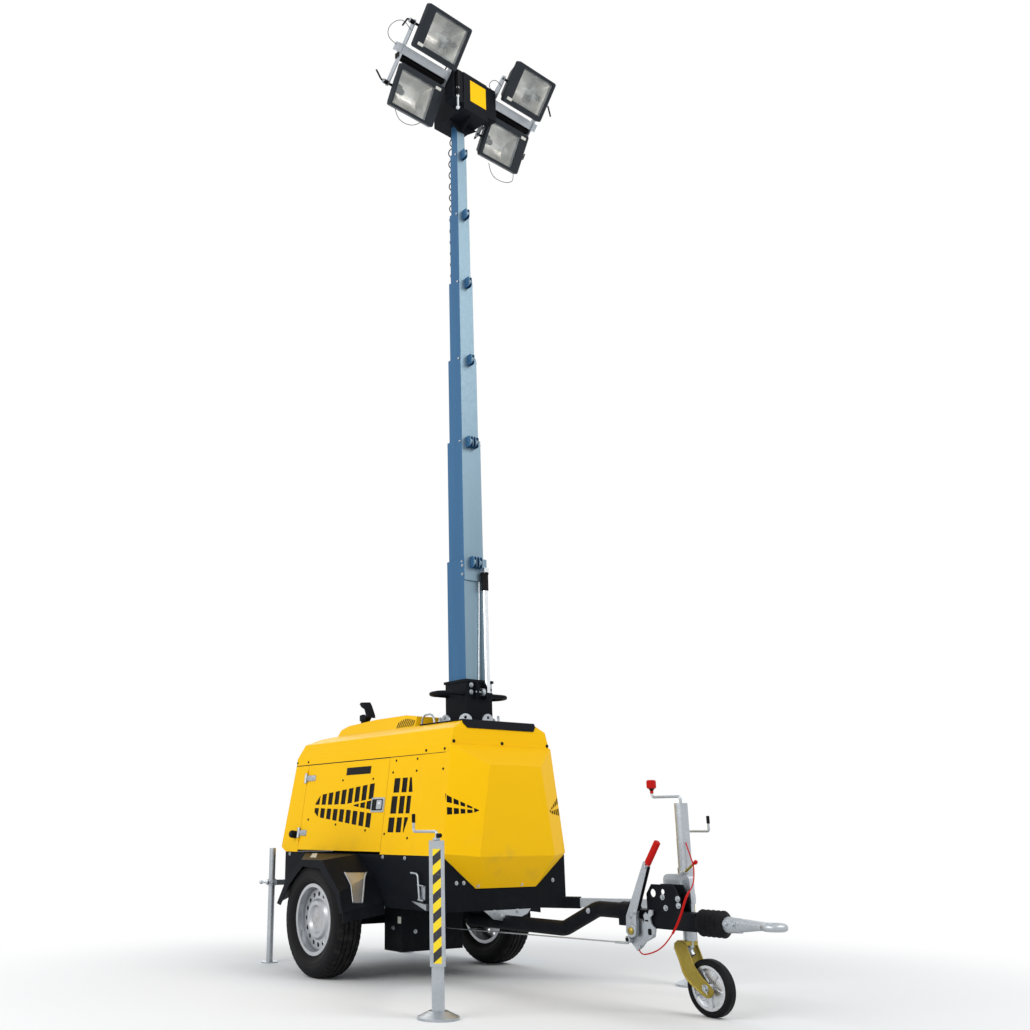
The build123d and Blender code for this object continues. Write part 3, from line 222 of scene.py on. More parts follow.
def make_black_paint():
    paint = Finish("black_paint", (0.02, 0.022, 0.026), {"Specular IOR Level": 0.05})
    tone = paint.mix(paint.noise(3, 4.0), (0.004, 0.005, 0.0065), (0.009, 0.011, 0.015))
    edge = paint.edges(0.003) * paint.ramp(paint.noise(40, 5.0), 0.45, 0.62)
    dust = paint.ramp(paint.axis("Z"), 0.55, 0.15) * paint.ramp(paint.noise(14, 6.0), 0.45, 0.75)
    worn = paint.mix(edge * 0.45, tone, (0.07, 0.08, 0.10))
    paint.feed("Base Color", paint.mix(dust * 0.25, worn, (0.05, 0.047, 0.043)))
    paint.feed("Roughness", 0.40 + paint.noise(35, 4.0) * 0.18 + dust * 0.2)
    paint.relief(paint.noise(650, 3.0), 0.00018, paint.rounded(0.002))
    return paint.material


def make_zinc(name, low, high, spangle, roughness):
    """Galvanised or plated steel with its spangle."""
    zinc = Finish(name, high, {"Metallic": 0.82})
    flakes = zinc.cells(spangle)
    cloud = zinc.noise(7, 5.0)
    tone = zinc.mix(flakes * 0.28 + cloud * 0.72, low, high)
    stain = zinc.ramp(zinc.noise(22, 6.0, (1, 1, 0.25)), 0.56, 0.78)
    zinc.feed("Base Color", zinc.mix(stain * 0.35, tone, tuple(c * 0.62 for c in low)))
    zinc.feed("Roughness", roughness + flakes * 0.16 + stain * 0.12)
    zinc.relief(zinc.noise(240, 3.0) * 0.5 + flakes * 0.5, 0.00015, zinc.rounded(0.0015))
    return zinc.material


def make_mast_steel():
    """Anodised tube whose blue is a painted sky reflection: pale along its rope faces, deep blue on its flanks."""
    steel = Finish("mast_steel", (0.4, 0.5, 0.6), {"Metallic": 0.6})
    drawn = steel.noise(14, 5.0, (1, 1, 0.05))
    flakes = steel.cells(160, (1, 1, 0.5))
    # Painted reflection: faces turned along X get a pale blue and the flanks a deep blue. The blue throughout
    # stands for reflected sky, not the metal's own colour.
    across = steel.node("SeparateXYZ", None, {0: steel.node("TexCoord", output="Normal")}, output="X")
    pale_reflection_faces = steel.ramp(across * across, 0.3, 0.7)
    flank_painted_reflection = steel.mix(drawn, (0.022, 0.095, 0.215), (0.050, 0.165, 0.320))
    pale = steel.mix(drawn, (0.150, 0.225, 0.285), (0.205, 0.300, 0.365))
    tone = steel.mix(pale_reflection_faces, flank_painted_reflection, pale)
    spot = steel.ramp(steel.noise(60, 4.0), 0.62, 0.75)
    steel.feed("Base Color", steel.mix(spot * 0.2, tone, (0.10, 0.22, 0.34)))
    steel.feed("Roughness", 0.34 + flakes * 0.10 + drawn * 0.12)
    steel.relief(drawn + flakes * 0.3, 0.00018, steel.rounded(0.003))
    return steel.material


def make_rubber(name, colour, roughness):
    rubber = Finish(name, colour, {"Specular IOR Level": 0.08})
    dusty = rubber.ramp(rubber.noise(16, 6.0), 0.42, 0.75)
    rubber.feed("Base Color", rubber.mix(dusty * 0.5, colour, tuple(c * 2.4 + 0.008 for c in colour)))
    rubber.feed("Roughness", roughness + dusty * 0.15)
    rubber.relief(rubber.noise(420, 3.0), 0.0002)
    return rubber.material


def make_tyre_rubber():
    rubber = Finish("tyre_rubber", (0.02, 0.02, 0.021), {"Specular IOR Level": 0.1})
    out = rubber.from_axle()
    rings = rubber.node("Math", {"operation": "SINE"}, {0: out * 1400})
    side_wall = rubber.ramp(out, 0.250, 0.235) * rubber.ramp(out, 0.195, 0.205)
    dust = rubber.ramp(out, 0.262, 0.287) * rubber.ramp(rubber.noise(30, 6.0), 0.40, 0.70)
    rubber.feed("Base Color", rubber.mix(dust * 0.4, (0.007, 0.007, 0.008), (0.05, 0.047, 0.043)))
    rubber.feed("Roughness", 0.62 + dust * 0.2 - side_wall * 0.12)
    rubber.relief(rings * side_wall * 0.25 + rubber.noise(300, 3.0) * 0.5, 0.0005)
    return rubber.material


def make_wheel_silver():
    silver = Finish("wheel_silver", (0.6, 0.61, 0.63), {"Metallic": 0.7, "Coat Weight": 0.3})
    cloud = silver.noise(12, 5.0)
    out = silver.from_axle()
    # Darker, browner patches towards the hub.
    hub_darkening = silver.ramp(out, 0.066, 0.040) * silver.ramp(silver.noise(60, 5.0), 0.44, 0.62)
    tone = silver.mix(cloud, (0.34, 0.355, 0.38), (0.56, 0.575, 0.60))
    silver.feed("Base Color", silver.mix(hub_darkening * 0.4, tone, (0.30, 0.24, 0.16)))
    silver.feed("Roughness", 0.26 + cloud * 0.14 + hub_darkening * 0.2)
    silver.relief(silver.noise(500, 2.0), 0.0001, silver.rounded(0.0015))
    return silver.material


def make_lamp_grey():
    grey = Finish("lamp_grey", (0.04, 0.046, 0.054), {"Specular IOR Level": 0.1})
    tone = grey.mix(grey.noise(8, 4.0), (0.014, 0.017, 0.021), (0.028, 0.034, 0.042))
    edge = grey.edges(0.003) * grey.noise(50, 4.0)
    grey.feed("Base Color", grey.mix(edge * 0.5, tone, (0.16, 0.18, 0.20)))
    grey.feed("Roughness", 0.44 + grey.noise(70, 3.0) * 0.16)
    grey.relief(grey.noise(380, 4.0), 0.0003, grey.rounded(0.002))
    return grey.material


def make_glass():
    glass = Finish("lamp_glass", (0.9, 0.95, 0.95), {"Specular IOR Level": 0.2, "Alpha": 0.10})
    smear = glass.ramp(glass.noise(14, 5.0), 0.45, 0.8)
    glass.feed("Alpha", 0.10 + smear * 0.12)
    glass.feed("Roughness", 0.12 + smear * 0.12)
    return glass.material


def make_reflector():
    bright = Finish("reflector", (0.85, 0.84, 0.80), {"Metallic": 1.0})
    tone = bright.mix(bright.noise(9, 4.0), (0.17, 0.16, 0.14), (0.82, 0.80, 0.75))
    bright.feed("Base Color", tone)
    bright.feed("Roughness", 0.24 + bright.noise(24, 4.0) * 0.14)
    bright.relief(bright.noise(60, 2.0), 0.0012)
    return bright.material


def make_plastic(name, colour, roughness, speck=0.3):
    plastic = Finish(name, colour, {"Specular IOR Level": 0.08})
    cloud = plastic.noise(20, 4.0)
    plastic.feed("Base Color", plastic.mix(cloud * speck, colour, tuple(c * 0.72 for c in colour)))
    plastic.feed("Roughness", roughness + cloud * 0.12)
    plastic.relief(plastic.noise(600, 2.0), 0.0001)
    return plastic.material


def make_hazard_tape():
    """Black and yellow stripes climbing to the right across the tape."""
    tape = Finish("hazard_tape", (0.9, 0.7, 0.0), {"Coat Weight": 0.2})
    climb = tape.axis("Z") - tape.axis("Y") * 0.85
    stripe = ((climb / 0.0765) % 1.0) < 0.50
    scuff = tape.ramp(tape.noise(90, 5.0), 0.60, 0.75)
    tape.feed("Base Color", tape.mix(
        scuff * 0.3, tape.mix(stripe, (0.95, 0.70, 0.0), (0.012, 0.012, 0.014)), (0.35, 0.33, 0.3),
    ))
    tape.feed("Roughness", 0.34 + scuff * 0.3)
    tape.relief(tape.noise(200, 2.0), 0.0001)
    return tape.material


finishes = {
    "yellow_paint": make_yellow_paint(),
    "black_paint": make_black_paint(),
    "galvanised": make_zinc("galvanised", (0.30, 0.33, 0.36), (0.54, 0.575, 0.61), 300, 0.30),
    "mast_steel": make_mast_steel(),
    "zinc_yellow": make_zinc("zinc_yellow", (0.20, 0.145, 0.018), (0.46, 0.36, 0.08), 260, 0.30),
    "tyre_rubber": make_tyre_rubber(),
    "rubber": make_rubber("rubber", (0.007, 0.007, 0.008), 0.5),
    "wheel_silver": make_wheel_silver(),
    "lamp_grey": make_lamp_grey(),
    "cable_black": make_rubber("cable_black", (0.006, 0.006, 0.007), 0.42),
    "engine_iron": make_rubber("engine_iron", (0.045, 0.05, 0.05), 0.5),
    "jockey_disc": make_zinc("jockey_disc", (0.50, 0.52, 0.55), (0.75, 0.77, 0.80), 260, 0.24),
    "chrome_rod": make_zinc("chrome_rod", (0.62, 0.66, 0.70), (0.86, 0.89, 0.92), 40, 0.08),
    "lamp_glass": make_glass(),
    "reflector": make_reflector(),
    "black_plastic": make_plastic("black_plastic", (0.006, 0.006, 0.007), 0.38),
    "red_plastic": make_plastic("red_plastic", (0.52, 0.010, 0.008), 0.36),
    "pale_plastic": make_plastic("pale_plastic", (0.62, 0.62, 0.58), 0.40),
    "hazard_tape": make_hazard_tape(),
}

for row in frame["record"]["subparts"]:
    mesh = frame["nodes"][row["node"]].data
    mesh.materials.clear()
    mesh.materials.append(finishes[row["material_slot"]])


# Meshes

def shown(name, data):
    """New object in the scene."""
    obj = bpy.data.objects.new(name, data)
    bpy.context.scene.collection.objects.link(obj)
    return obj


def placed(origin, z_axis, x_axis):
    """Placement with its z along z_axis and its x as near x_axis as that allows."""
    z = Vector(z_axis).normalized()
    x = Vector(x_axis)
    x = (x - z * x.dot(z)).normalized()
    turn = Matrix((x, z.cross(x), z)).transposed().to_4x4()
    return Matrix.Translation(origin) @ turn


class Shape:
    """A mesh under construction from turned, extruded and swept forms."""

    def __init__(self):
        self.mesh = bmesh.new()

    def ring(self, points):
        return [self.mesh.verts.new(p) for p in points]

    def skin(self, rings):
        """Quads between neighbouring rings of vertices, and a face on each end."""
        for one, two in zip(rings, rings[1:]):
            for k in range(len(one)):
                m = (k + 1) % len(one)
                self.mesh.faces.new((one[k], one[m], two[m], two[k]))
        self.mesh.faces.new(rings[0])
        self.mesh.faces.new(rings[-1])
        return self

    def turned(self, profile, place, steps=24, closed=False, dent=None):
        """Turns (radius, height) points round the placement's z axis."""
        rings = []
        for k in range(steps):
            a = 2 * math.pi * k / steps
            ring = []
            for index, (radius, height) in enumerate(profile):
                r = radius - (dent(k, index) if dent else 0)
                ring.append(place @ Vector((r * math.cos(a), r * math.sin(a), height)))
            rings.append(self.ring(ring))
        for one, two in zip(rings, rings[1:] + rings[:1]):
            for k in range(len(profile) - (0 if closed else 1)):
                m = (k + 1) % len(profile)
                self.mesh.faces.new((one[k], two[k], two[m], one[m]))
        if not closed:
            for end in (0, -1):
                self.mesh.faces.new([ring[end] for ring in rings])
        return self

    def prism(self, outline, depth, place, taper=0.0):
        """Extrudes an outline along the placement's z; taper draws in its far face."""
        centre = Vector((sum(p[0] for p in outline), sum(p[1] for p in outline))) / len(outline)
        near = self.ring([place @ Vector((x, y, 0)) for x, y in outline])
        far = self.ring([
            place @ Vector((
                x - taper * math.copysign(1, x - centre.x),
                y - taper * math.copysign(1, y - centre.y),
                depth,
            )) for x, y in outline
        ])
        return self.skin([near, far])

    def slab(self, corners, thickness):
        """Closed sheet with the given corners, thickened by a vector."""
        near = self.ring([Vector(c) for c in corners])
        far = self.ring([Vector(c) + Vector(thickness) for c in corners])
        return self.skin([near, far])

    def rod(self, low, high, radius, steps=16):
        """Round bar between two points, its edges broken."""
        low, high = Vector(low), Vector(high)
        length = (high - low).length
        edge = min(radius * 0.25, length * 0.2)
        return self.turned([
            (0, 0), (radius - edge, 0), (radius, edge), (radius, length - edge),
            (radius - edge, length), (0, length),
        ], placed(low, high - low, (high - low).orthogonal()), steps)

    def swept(self, points, radius, steps=8, flat=1.0):
        """Round or flattened tube along the points."""
        points = [Vector(p) for p in points]
        rings = []
        side = None
        for k, point in enumerate(points):
            along = (points[min(k + 1, len(points) - 1)] - points[max(k - 1, 0)]).normalized()
            if side is None:
                side = along.orthogonal().normalized()
            side = (side - along * side.dot(along)).normalized()
            other = along.cross(side)
            rings.append(self.ring([
                point + side * radius * math.cos(2 * math.pi * j / steps)
                + other * radius * flat * math.sin(2 * math.pi * j / steps)
                for j in range(steps)
            ]))
        return self.skin(rings)

    def made(self, name, finish, body, smooth=35, place=None):
        """Finishes the mesh as a named piece that rides on a body."""
        bmesh.ops.recalc_face_normals(self.mesh, faces=self.mesh.faces)
        mesh = bpy.data.meshes.new(name)
        self.mesh.to_mesh(mesh)
        self.mesh.free()
        mesh.materials.append(finishes[finish])
        mesh.shade_smooth()
        mesh.set_sharp_from_angle(angle=math.radians(smooth))
        obj = shown(name, mesh)
        if place is not None:
            obj.matrix_world = place
        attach(obj, body)
        return obj


def rounded_box(width, height, corner, steps=4):
    """Outline of a rectangle with rounded corners, centred on the origin."""
    outline = []
    for cx, cy, start in ((1, 1, 0), (-1, 1, 90), (-1, -1, 180), (1, -1, 270)):
        for k in range(steps + 1):
            a = math.radians(start + 90 * k / steps)
            outline.append((
                cx * (width / 2 - corner) + corner * math.cos(a),
                cy * (height / 2 - corner) + corner * math.sin(a),
            ))
    return outline


def bent(corners, radius, steps=6):
    """Route through the corners, each one rounded."""
    corners = [Vector(c) for c in corners]
    route = [corners[0]]
    for before, corner, after in zip(corners, corners[1:], corners[2:]):
        back, on = (before - corner).normalized(), (after - corner).normalized()
        half = back.angle(on) / 2
        reach = radius / math.tan(half)
        centre = corner + (back + on).normalized() * (radius / math.sin(half))
        first = (corner + back * reach - centre).normalized()
        last = (corner + on * reach - centre).normalized()
        route += [centre + first.slerp(last, k / steps) * radius for k in range(steps + 1)]
    route.append(corners[-1])
    return route


def bolt(shape, place, across=0.013, height=0.006, washer=1.9):
    """Hexagon head on its washer, standing on the placement's plane."""
    r = across * washer / 2
    shape.turned([(0, -0.001), (r, -0.001), (r, 0.0012), (r - 0.0008, 0.0018), (0, 0.0018)], place, 18)
    shape.prism(hexagon(across), 0.0018 + height, place, taper=0.0004)


def at(x, y, z):
    """Point with x counted from the axle."""
    return Vector((AXLE_X + x, y, z))


# Directions of a placement's z and x when it faces a way
WAYS = {
    RIGHT: ((0, -1, 0), (1, 0, 0)), LEFT: ((0, 1, 0), (1, 0, 0)),
    "ahead": ((1, 0, 0), (0, 1, 0)), "up": ((0, 0, 1), (1, 0, 0)),
}


def facing(way, x, y, z):
    """Placement at a point with x counted from the axle, its z the given way."""
    return placed(at(x, y, z), *WAYS[way])


def upright(y):
    """Placement on an upright lengthwise plane: x from the axle, y up, z to the right."""
    return facing(RIGHT, 0, y, 0)


def shift(place, x, y, z=0):
    """The placement, moved along its own axes."""
    return place @ Matrix.Translation((x, y, z))


def crossbar(shape, x, z, start, end, radius, steps=16):
    """Round bar across the trailer, from one y to another."""
    shape.rod(at(x, start, z), at(x, end, z), radius, steps)


def ball_grip(shape, low, high, radius):
    """Long rounded grip between two points."""
    low, high = Vector(low), Vector(high)
    length = (high - low).length
    place = placed(low, high - low, (high - low).orthogonal())
    shape.turned([
        (0, 0), (radius * 0.62, 0), (radius * 0.86, length * 0.10), (radius, length * 0.45),
        (radius * 0.97, length * 0.75), (radius * 0.80, length * 0.92), (radius * 0.45, length), (0, length),
    ], place, 20)


def hexagon(across):
    r = across / 2 / math.cos(math.radians(30))
    return [(r * math.cos(math.radians(60 * k)), r * math.sin(math.radians(60 * k))) for k in range(6)]


def nurbs_line(points, resolution=8):
    """Points along the smooth route whose control points are given."""
    curve = bpy.data.curves.new("route", "CURVE")
    curve.dimensions = "3D"
    curve.resolution_u = resolution
    spline = curve.splines.new("NURBS")
    spline.points.add(len(points) - 1)
    for knot, point in zip(spline.points, points):
        knot.co = (*point, 1)
    spline.order_u = 3
    spline.use_endpoint_u = True
    holder = bpy.data.objects.new("route", curve)
    line = bpy.data.meshes.new_from_object(holder)
    places = [v.co.copy() for v in line.vertices]
    bpy.data.objects.remove(holder)
    return places


# Places on the leaning sides

def side_place(x, z, side, out=0.0):
    """Placement on a canopy side: x forward on the right, y up the panel, z outward."""
    share = (z - SILL_Z) / (SEAM_Z - SILL_Z)
    normal = Vector((0, side * math.cos(SIDE_LEAN), math.sin(SIDE_LEAN)))
    half = SILL_HALF + (SEAM_HALF - SILL_HALF) * share
    return placed(Vector((AXLE_X + x, side * half, z)) + normal * out, normal, (1, 0, 0))


def lamp_place(across, reach, tilt):
    """Placement of a lamp's face through its pivot: x across, y up, z out of the glass."""
    up = Vector((0, 0, 1))
    centre = Vector((MAST_X, 0, BAR_Z)) + HEAD_AHEAD * BAR_FORWARD + HEAD_LEFT * across
    centre += (HEAD_AHEAD * math.sin(FRAME_TILT) + up * math.cos(FRAME_TILT)) * reach
    return placed(centre, HEAD_AHEAD * math.cos(tilt) - up * math.sin(tilt), HEAD_LEFT)


# Tyres with their tread
TREAD = (
    (0.2890, 0.000), (0.2890, 0.0110), (0.2822, 0.0125), (0.2822, 0.0180), (0.2888, 0.0195),
    (0.2884, 0.0360), (0.2816, 0.0375), (0.2816, 0.0430), (0.2880, 0.0445), (0.2862, 0.0545),
    (0.2815, 0.0645), (0.2745, 0.0705), (0.2660, 0.0750), (0.2530, 0.0782), (0.2400, 0.0795),
    (0.2300, 0.0793), (0.2280, 0.0780), (0.2245, 0.0780), (0.2225, 0.0786), (0.2140, 0.0770),
    (0.2000, 0.0712), (0.1900, 0.0662), (0.1840, 0.0630), (0.1808, 0.0572), (0.1664, 0.0570),
)
SHOULDER = range(8, 12)
TREAD_STEPS = 216
SIPE_STEPS, SIPE_DEPTH = 4, 0.0045
DISC_INSET = 0.026
BOLT_CIRCLE = 0.050


def tyre(side, name):
    profile = list(TREAD) + [(r, -offset) for r, offset in reversed(TREAD[1:])]

    def sipe(k, index):
        across = min(index, len(profile) - index) if index else 0
        return SIPE_DEPTH if across in SHOULDER and k % SIPE_STEPS == 0 else 0.0

    hub = facing(side, 0, side * TRACK_HALF, AXLE_Z)
    shape = Shape().turned(profile, hub, TREAD_STEPS, closed=True, dent=sipe)
    made = shape.made(f"tread_{name}", "tyre_rubber", f"wheel_{name}", smooth=28)
    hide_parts(f"tyre_{name}")


def wheel_bolts(side, name):
    hub = facing(side, 0, side * (TRACK_HALF - DISC_INSET), AXLE_Z)
    bolts = Shape()
    for k in range(4):
        a = math.radians(90 * k + 4)
        spot = shift(hub, BOLT_CIRCLE * math.cos(a), BOLT_CIRCLE * math.sin(a))
        bolts.turned([(0.0, 0), (0.0125, 0), (0.0125, 0.003), (0.0115, 0.005), (0.0, 0.005)], spot, 20)
        bolts.prism(hexagon(0.017), 0.014, spot, taper=0.0006)
    bolts.made(f"wheel_bolts_{name}", "zinc_yellow", f"wheel_{name}")
    Shape().turned(
        [(0.0, 0), (0.029, 0), (0.029, 0.012), (0.026, 0.017), (0.0, 0.020)], hub, 32,
    ).made(f"hub_cap_{name}", "galvanised", f"wheel_{name}")


for side, name in SIDES:
    tyre(side, name)
    wheel_bolts(side, name)


# Coiled supply cable: tighter turns low down, stretched ones under the head
CABLE_RADIUS = 0.0035
COIL_RADIUS = 0.0185
COIL_X, COIL_Y = MAST_X - 0.115, 0.035
COIL_BOTTOM, COIL_TOP = 1.60, 5.12
COIL_TURNS = 48
COIL_STEPS = 16
# The turns' pitch grows upward, and the coil leaves its axis over a sixtieth of its route
COIL_STRETCH = 0.16
COIL_RISE = 60


def coiled_cable():
    route = [(COIL_X, COIL_Y, COIL_BOTTOM + (COIL_TOP - COIL_BOTTOM) * k / 4) for k in range(5)]
    line = nurbs_line(route, 64)
    points = []
    steps = COIL_TURNS * COIL_STEPS
    for k in range(steps + 1):
        share = k / steps
        climb = (1 - COIL_STRETCH) * share + COIL_STRETCH * share * share
        spot = line[0].lerp(line[-1], climb)
        a = 2 * math.pi * COIL_TURNS * share
        swell = min(1.0, share * COIL_RISE, (1 - share) * COIL_RISE)
        points.append(spot + Vector((math.cos(a), math.sin(a), 0)) * COIL_RADIUS * swell)
    coil = Shape().swept(points, CABLE_RADIUS, 8)
    made = coil.made("coiled_supply_cable", "cable_black", "turret", smooth=60)
    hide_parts("coiled_cable")
    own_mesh(made)


coiled_cable()


# Floodlights: glass, reflector, socket, bulb and clip.
# Each row: name, across, reach, tilt, and -1 where the lamp is turned over
LAMPS = (
    ("upper_right", -0.390, 0.164, math.radians(37), 1),
    ("upper_left", 0.390, 0.164, math.radians(37), 1),
    ("lower_right", -0.390, -0.214, math.radians(28), -1),
    ("lower_left", 0.390, -0.214, math.radians(28), -1),
)
LAMP_FACE = 0.071
OPENING = (0.273, 0.214)
OPENING_SHIFT = (0.0225, 0.006)
# The reflector: its flange under the glass, and a bowl whose side walls lean in
FLANGE_HALF, FLANGE_Z = 0.1312, 0.0405
BOWL_HALF, BOWL_TALL, BOWL_DEPTH = 0.1320, 0.1022, 0.0755
BOWL_LEAN, BOWL_RISE, BOWL_TOP = 0.0375, 0.081, 0.041
BOWL_STRIPS = 14


def floodlight(name, across, reach, tilt, over):
    body = f"lamp_{name}"
    face = lamp_place(across, reach, tilt)
    middle = shift(face, OPENING_SHIFT[0] * over, OPENING_SHIFT[1] * over)
    wide, high = OPENING

    Shape().prism(
        rounded_box(wide - 0.001, high - 0.001, 0.003), 0.004,
        shift(middle, 0, 0, LAMP_FACE - 0.013),
    ).made(f"glass_{name}", "lamp_glass", body)

    def wall(z):
        return BOWL_HALF - BOWL_LEAN * (BOWL_TOP - z) / BOWL_RISE

    bowl = Shape()
    rows = []
    for k in range(BOWL_STRIPS + 1):
        t = -1 + 2 * k / BOWL_STRIPS
        z = FLANGE_Z - BOWL_DEPTH * (1 - t * t) ** 0.8
        rows.append(bowl.ring([
            middle @ Vector((x, t * BOWL_TALL, depth)) for x, depth in (
                (-FLANGE_HALF, FLANGE_Z), (-wall(z) + 0.002, z), (wall(z) - 0.002, z), (FLANGE_HALF, FLANGE_Z),
            )
        ]))
    for low, up in zip(rows, rows[1:]):
        for k in range(3):
            bowl.mesh.faces.new((low[k], low[k + 1], up[k + 1], up[k]))
    bowl.made(f"reflector_{name}", "reflector", body, smooth=4)

    rim = Shape()
    rim.turned([(0, 0), (0.026, 0), (0.026, 0.003), (0.020, 0.006), (0, 0.006)],
               shift(middle, 0.062 * over, -0.030 * over, -0.030), 28)
    socket = shift(middle, 0.060 * over, 0.004 * over, 0.006)
    sideways = socket @ Matrix.Rotation(math.radians(-90 * over), 4, "Y")
    rim.turned([(0, -0.046), (0.018, -0.046), (0.018, 0.012), (0.014, 0.018), (0, 0.018)], sideways, 24)
    rim.made(f"lamp_socket_{name}", "black_plastic", body)
    Shape().turned(
        [(0, 0.019), (0.009, 0.021), (0.016, 0.036), (0.018, 0.060), (0.016, 0.086), (0.009, 0.102), (0, 0.106)],
        sideways, 24,
    ).made(f"bulb_{name}", "lamp_glass", body)

    spot = shift(face, -0.134 * over, -0.103 * over, LAMP_FACE + 0.0002)
    Shape().prism(rounded_box(0.044, 0.019, 0.004), 0.004, spot, taper=0.0015).made(
        f"clip_{name}", "pale_plastic", body,
    )


for row in LAMPS:
    floodlight(*row)


# Safety wires of the lamps, each a stiff loop beside its lamp
LAMP_WIRES = {
    "upper_right": (
        (-0.015, -0.562, 5.415), (-0.014, -0.600, 5.462), (-0.041, -0.635, 5.474), (-0.078, -0.666, 5.452),
        (-0.097, -0.678, 5.408), (-0.104, -0.656, 5.362), (-0.092, -0.612, 5.340),
    ),
    "upper_left": (
        (-0.093, 0.219, 5.408), (-0.098, 0.198, 5.440), (-0.114, 0.168, 5.450), (-0.136, 0.150, 5.426),
        (-0.141, 0.162, 5.388), (-0.129, 0.187, 5.380),
    ),
    "lower_right": (
        (-0.336, -0.456, 5.096), (-0.338, -0.442, 5.048), (-0.329, -0.411, 5.017), (-0.311, -0.375, 4.998),
        (-0.287, -0.338, 4.996), (-0.268, -0.312, 5.015),
    ),
    "lower_left": (
        (-0.405, 0.356, 5.062), (-0.409, 0.368, 5.008), (-0.406, 0.400, 4.963), (-0.383, 0.446, 4.937),
        (-0.361, 0.482, 4.930), (-0.338, 0.512, 4.944), (-0.345, 0.517, 5.006),
    ),
}
WIRE_RADIUS = 0.0020


def safety_wires():
    for name, knots in LAMP_WIRES.items():
        line = nurbs_line(knots)
        wire = Shape().swept(line, WIRE_RADIUS, 6)
        made = wire.made(f"safety_wire_{name}", "cable_black", f"lamp_{name}", smooth=60)


safety_wires()


# Under the lamp bars: black wiring trays, the lamps' leads and the tilt levers
LEAD_RADIUS = 0.0042


def head_place(forward, across, z):
    """Point on the lamp head: forward and across from the mast, and its height."""
    return Vector((MAST_X, 0, z)) + HEAD_AHEAD * forward + HEAD_LEFT * across


def latch_point(z):
    """Point on the upright latch at the head's front."""
    return head_place(0.176, -0.165, z)


def lamp_rigging():
    tray = Shape()
    for side in (RIGHT, LEFT):
        middle = lamp_place(side * 0.392, -0.043, FRAME_TILT)
        tray.prism(
            rounded_box(0.036, 0.036, 0.004), 0.385,
            placed(middle @ Vector((-0.1925, 0, -0.026)), middle.to_3x3() @ Vector((1, 0, 0)), (0, 0, 1)),
        )
    tray.made("wiring_trays", "black_plastic", "mast_head")
    for name, across, reach, _, over in LAMPS:
        side = math.copysign(1, across)
        pivot = lamp_place(across - side * 0.182, reach, FRAME_TILT).translation
        sag = 0.050 if over > 0 else -0.015
        knots = [
            head_place(0.070, side * 0.236, 5.330 if over > 0 else 5.250),
            head_place(0.040, side * 0.236, 5.332 if over > 0 else 5.236),
            (head_place(0.010, side * 0.222, 5.330 if over > 0 else 5.200) + pivot) / 2 - Vector((0.05, 0, sag)),
            pivot + Vector((-0.055, 0, 0.012 * over)),
            pivot + Vector((-0.012, 0, 0.0)),
        ]
        line = nurbs_line(knots, 12)
        lead = Shape().swept(line, LEAD_RADIUS, 10).made(f"lamp_lead_{name}", "cable_black", "mast_head", smooth=60)
        outer = lamp_place(across + side * 0.204, reach, FRAME_TILT).translation
        out = lamp_place(0, 0, 0).to_3x3() @ Vector((side, 0, 0))
        lever = Shape()
        lever.rod(outer - out * 0.012, outer + out * 0.022, 0.0135, 20)
        lever.swept(bent([
            outer + out * 0.012, outer + out * 0.038, outer + out * 0.070 + Vector((-0.01, 0, -0.060 * over)),
        ], 0.012, 4), 0.0055, 10)
        lever.made(f"tilt_lever_{name}", "black_plastic", "mast_head")
        nut = Shape()
        bolt(nut, placed(outer + out * 0.022, out, (0, 0, 1)), 0.014, 0.006)
        nut.made(f"tilt_nut_{name}", "galvanised", "mast_head")
    Shape().rod(
        latch_point(5.170), latch_point(5.361), 0.0115, 20,
    ).made("head_latch_rod", "black_plastic", "mast_head")
    bright = Shape()
    bright.rod(latch_point(5.076), latch_point(5.250), 0.0075, 16)
    for z in (5.082, 5.168, 5.226):
        bright.rod(latch_point(z), latch_point(z + 0.014), 0.0125, 6)
    bright.made("head_latch_pin", "chrome_rod", "mast_head")
    web = Shape()
    front = MAST_X + 0.0335
    web.slab([
        (front, -0.100, 5.120), (front, 0.130, 5.120), (front, 0.052, 5.062), (front, -0.030, 5.062),
    ], (0.005, 0, 0))
    web.slab([
        (front + 0.005, -0.004, 5.120), (front + 0.110, -0.004, 5.120), (front + 0.030, -0.004, 5.064),
        (front + 0.005, -0.004, 5.064),
    ], (0, 0.006, 0))
    web.made("head_web", "black_paint", "mast_head")


lamp_rigging()


# Hazard tape on the outer faces of the front legs
LEG_FACE = 0.0328
TAPE_Z, TAPE_WIDTH, TAPE_HEIGHT = 0.440, 0.034, 0.452


def hazard_tape(leg, side, name):
    out = (math.cos(ARM_ANGLE), side * math.sin(ARM_ANGLE), 0)
    spot = Vector((*leg, 0)) + Vector(out) * LEG_FACE
    place = Matrix.Translation(spot) @ Matrix.Rotation(side * ARM_ANGLE, 4, "Z")
    strip = placed((0, 0, TAPE_Z), *WAYS["ahead"])
    Shape().prism(rounded_box(TAPE_WIDTH, TAPE_HEIGHT, 0.002), 0.0008, strip).made(
        f"tape_{name}", "hazard_tape", f"outrigger_{name}", place=place,
    )


for row in LEGS:
    hazard_tape(*row)


# Small fasteners on the sides: x from the axle, and z
SIDE_SCREWS = {
    "door": ((-0.520, 0.803), (-0.201, 0.773), (0.118, 0.741), (-0.180, 1.018), (0.140, 1.015)),
    "chassis": (
        (0.350, 1.103), (0.546, 1.103), (0.330, 1.041), (0.549, 1.041), (0.310, 0.723),
        (0.526, 0.703), (0.780, 1.041),
    ),
}


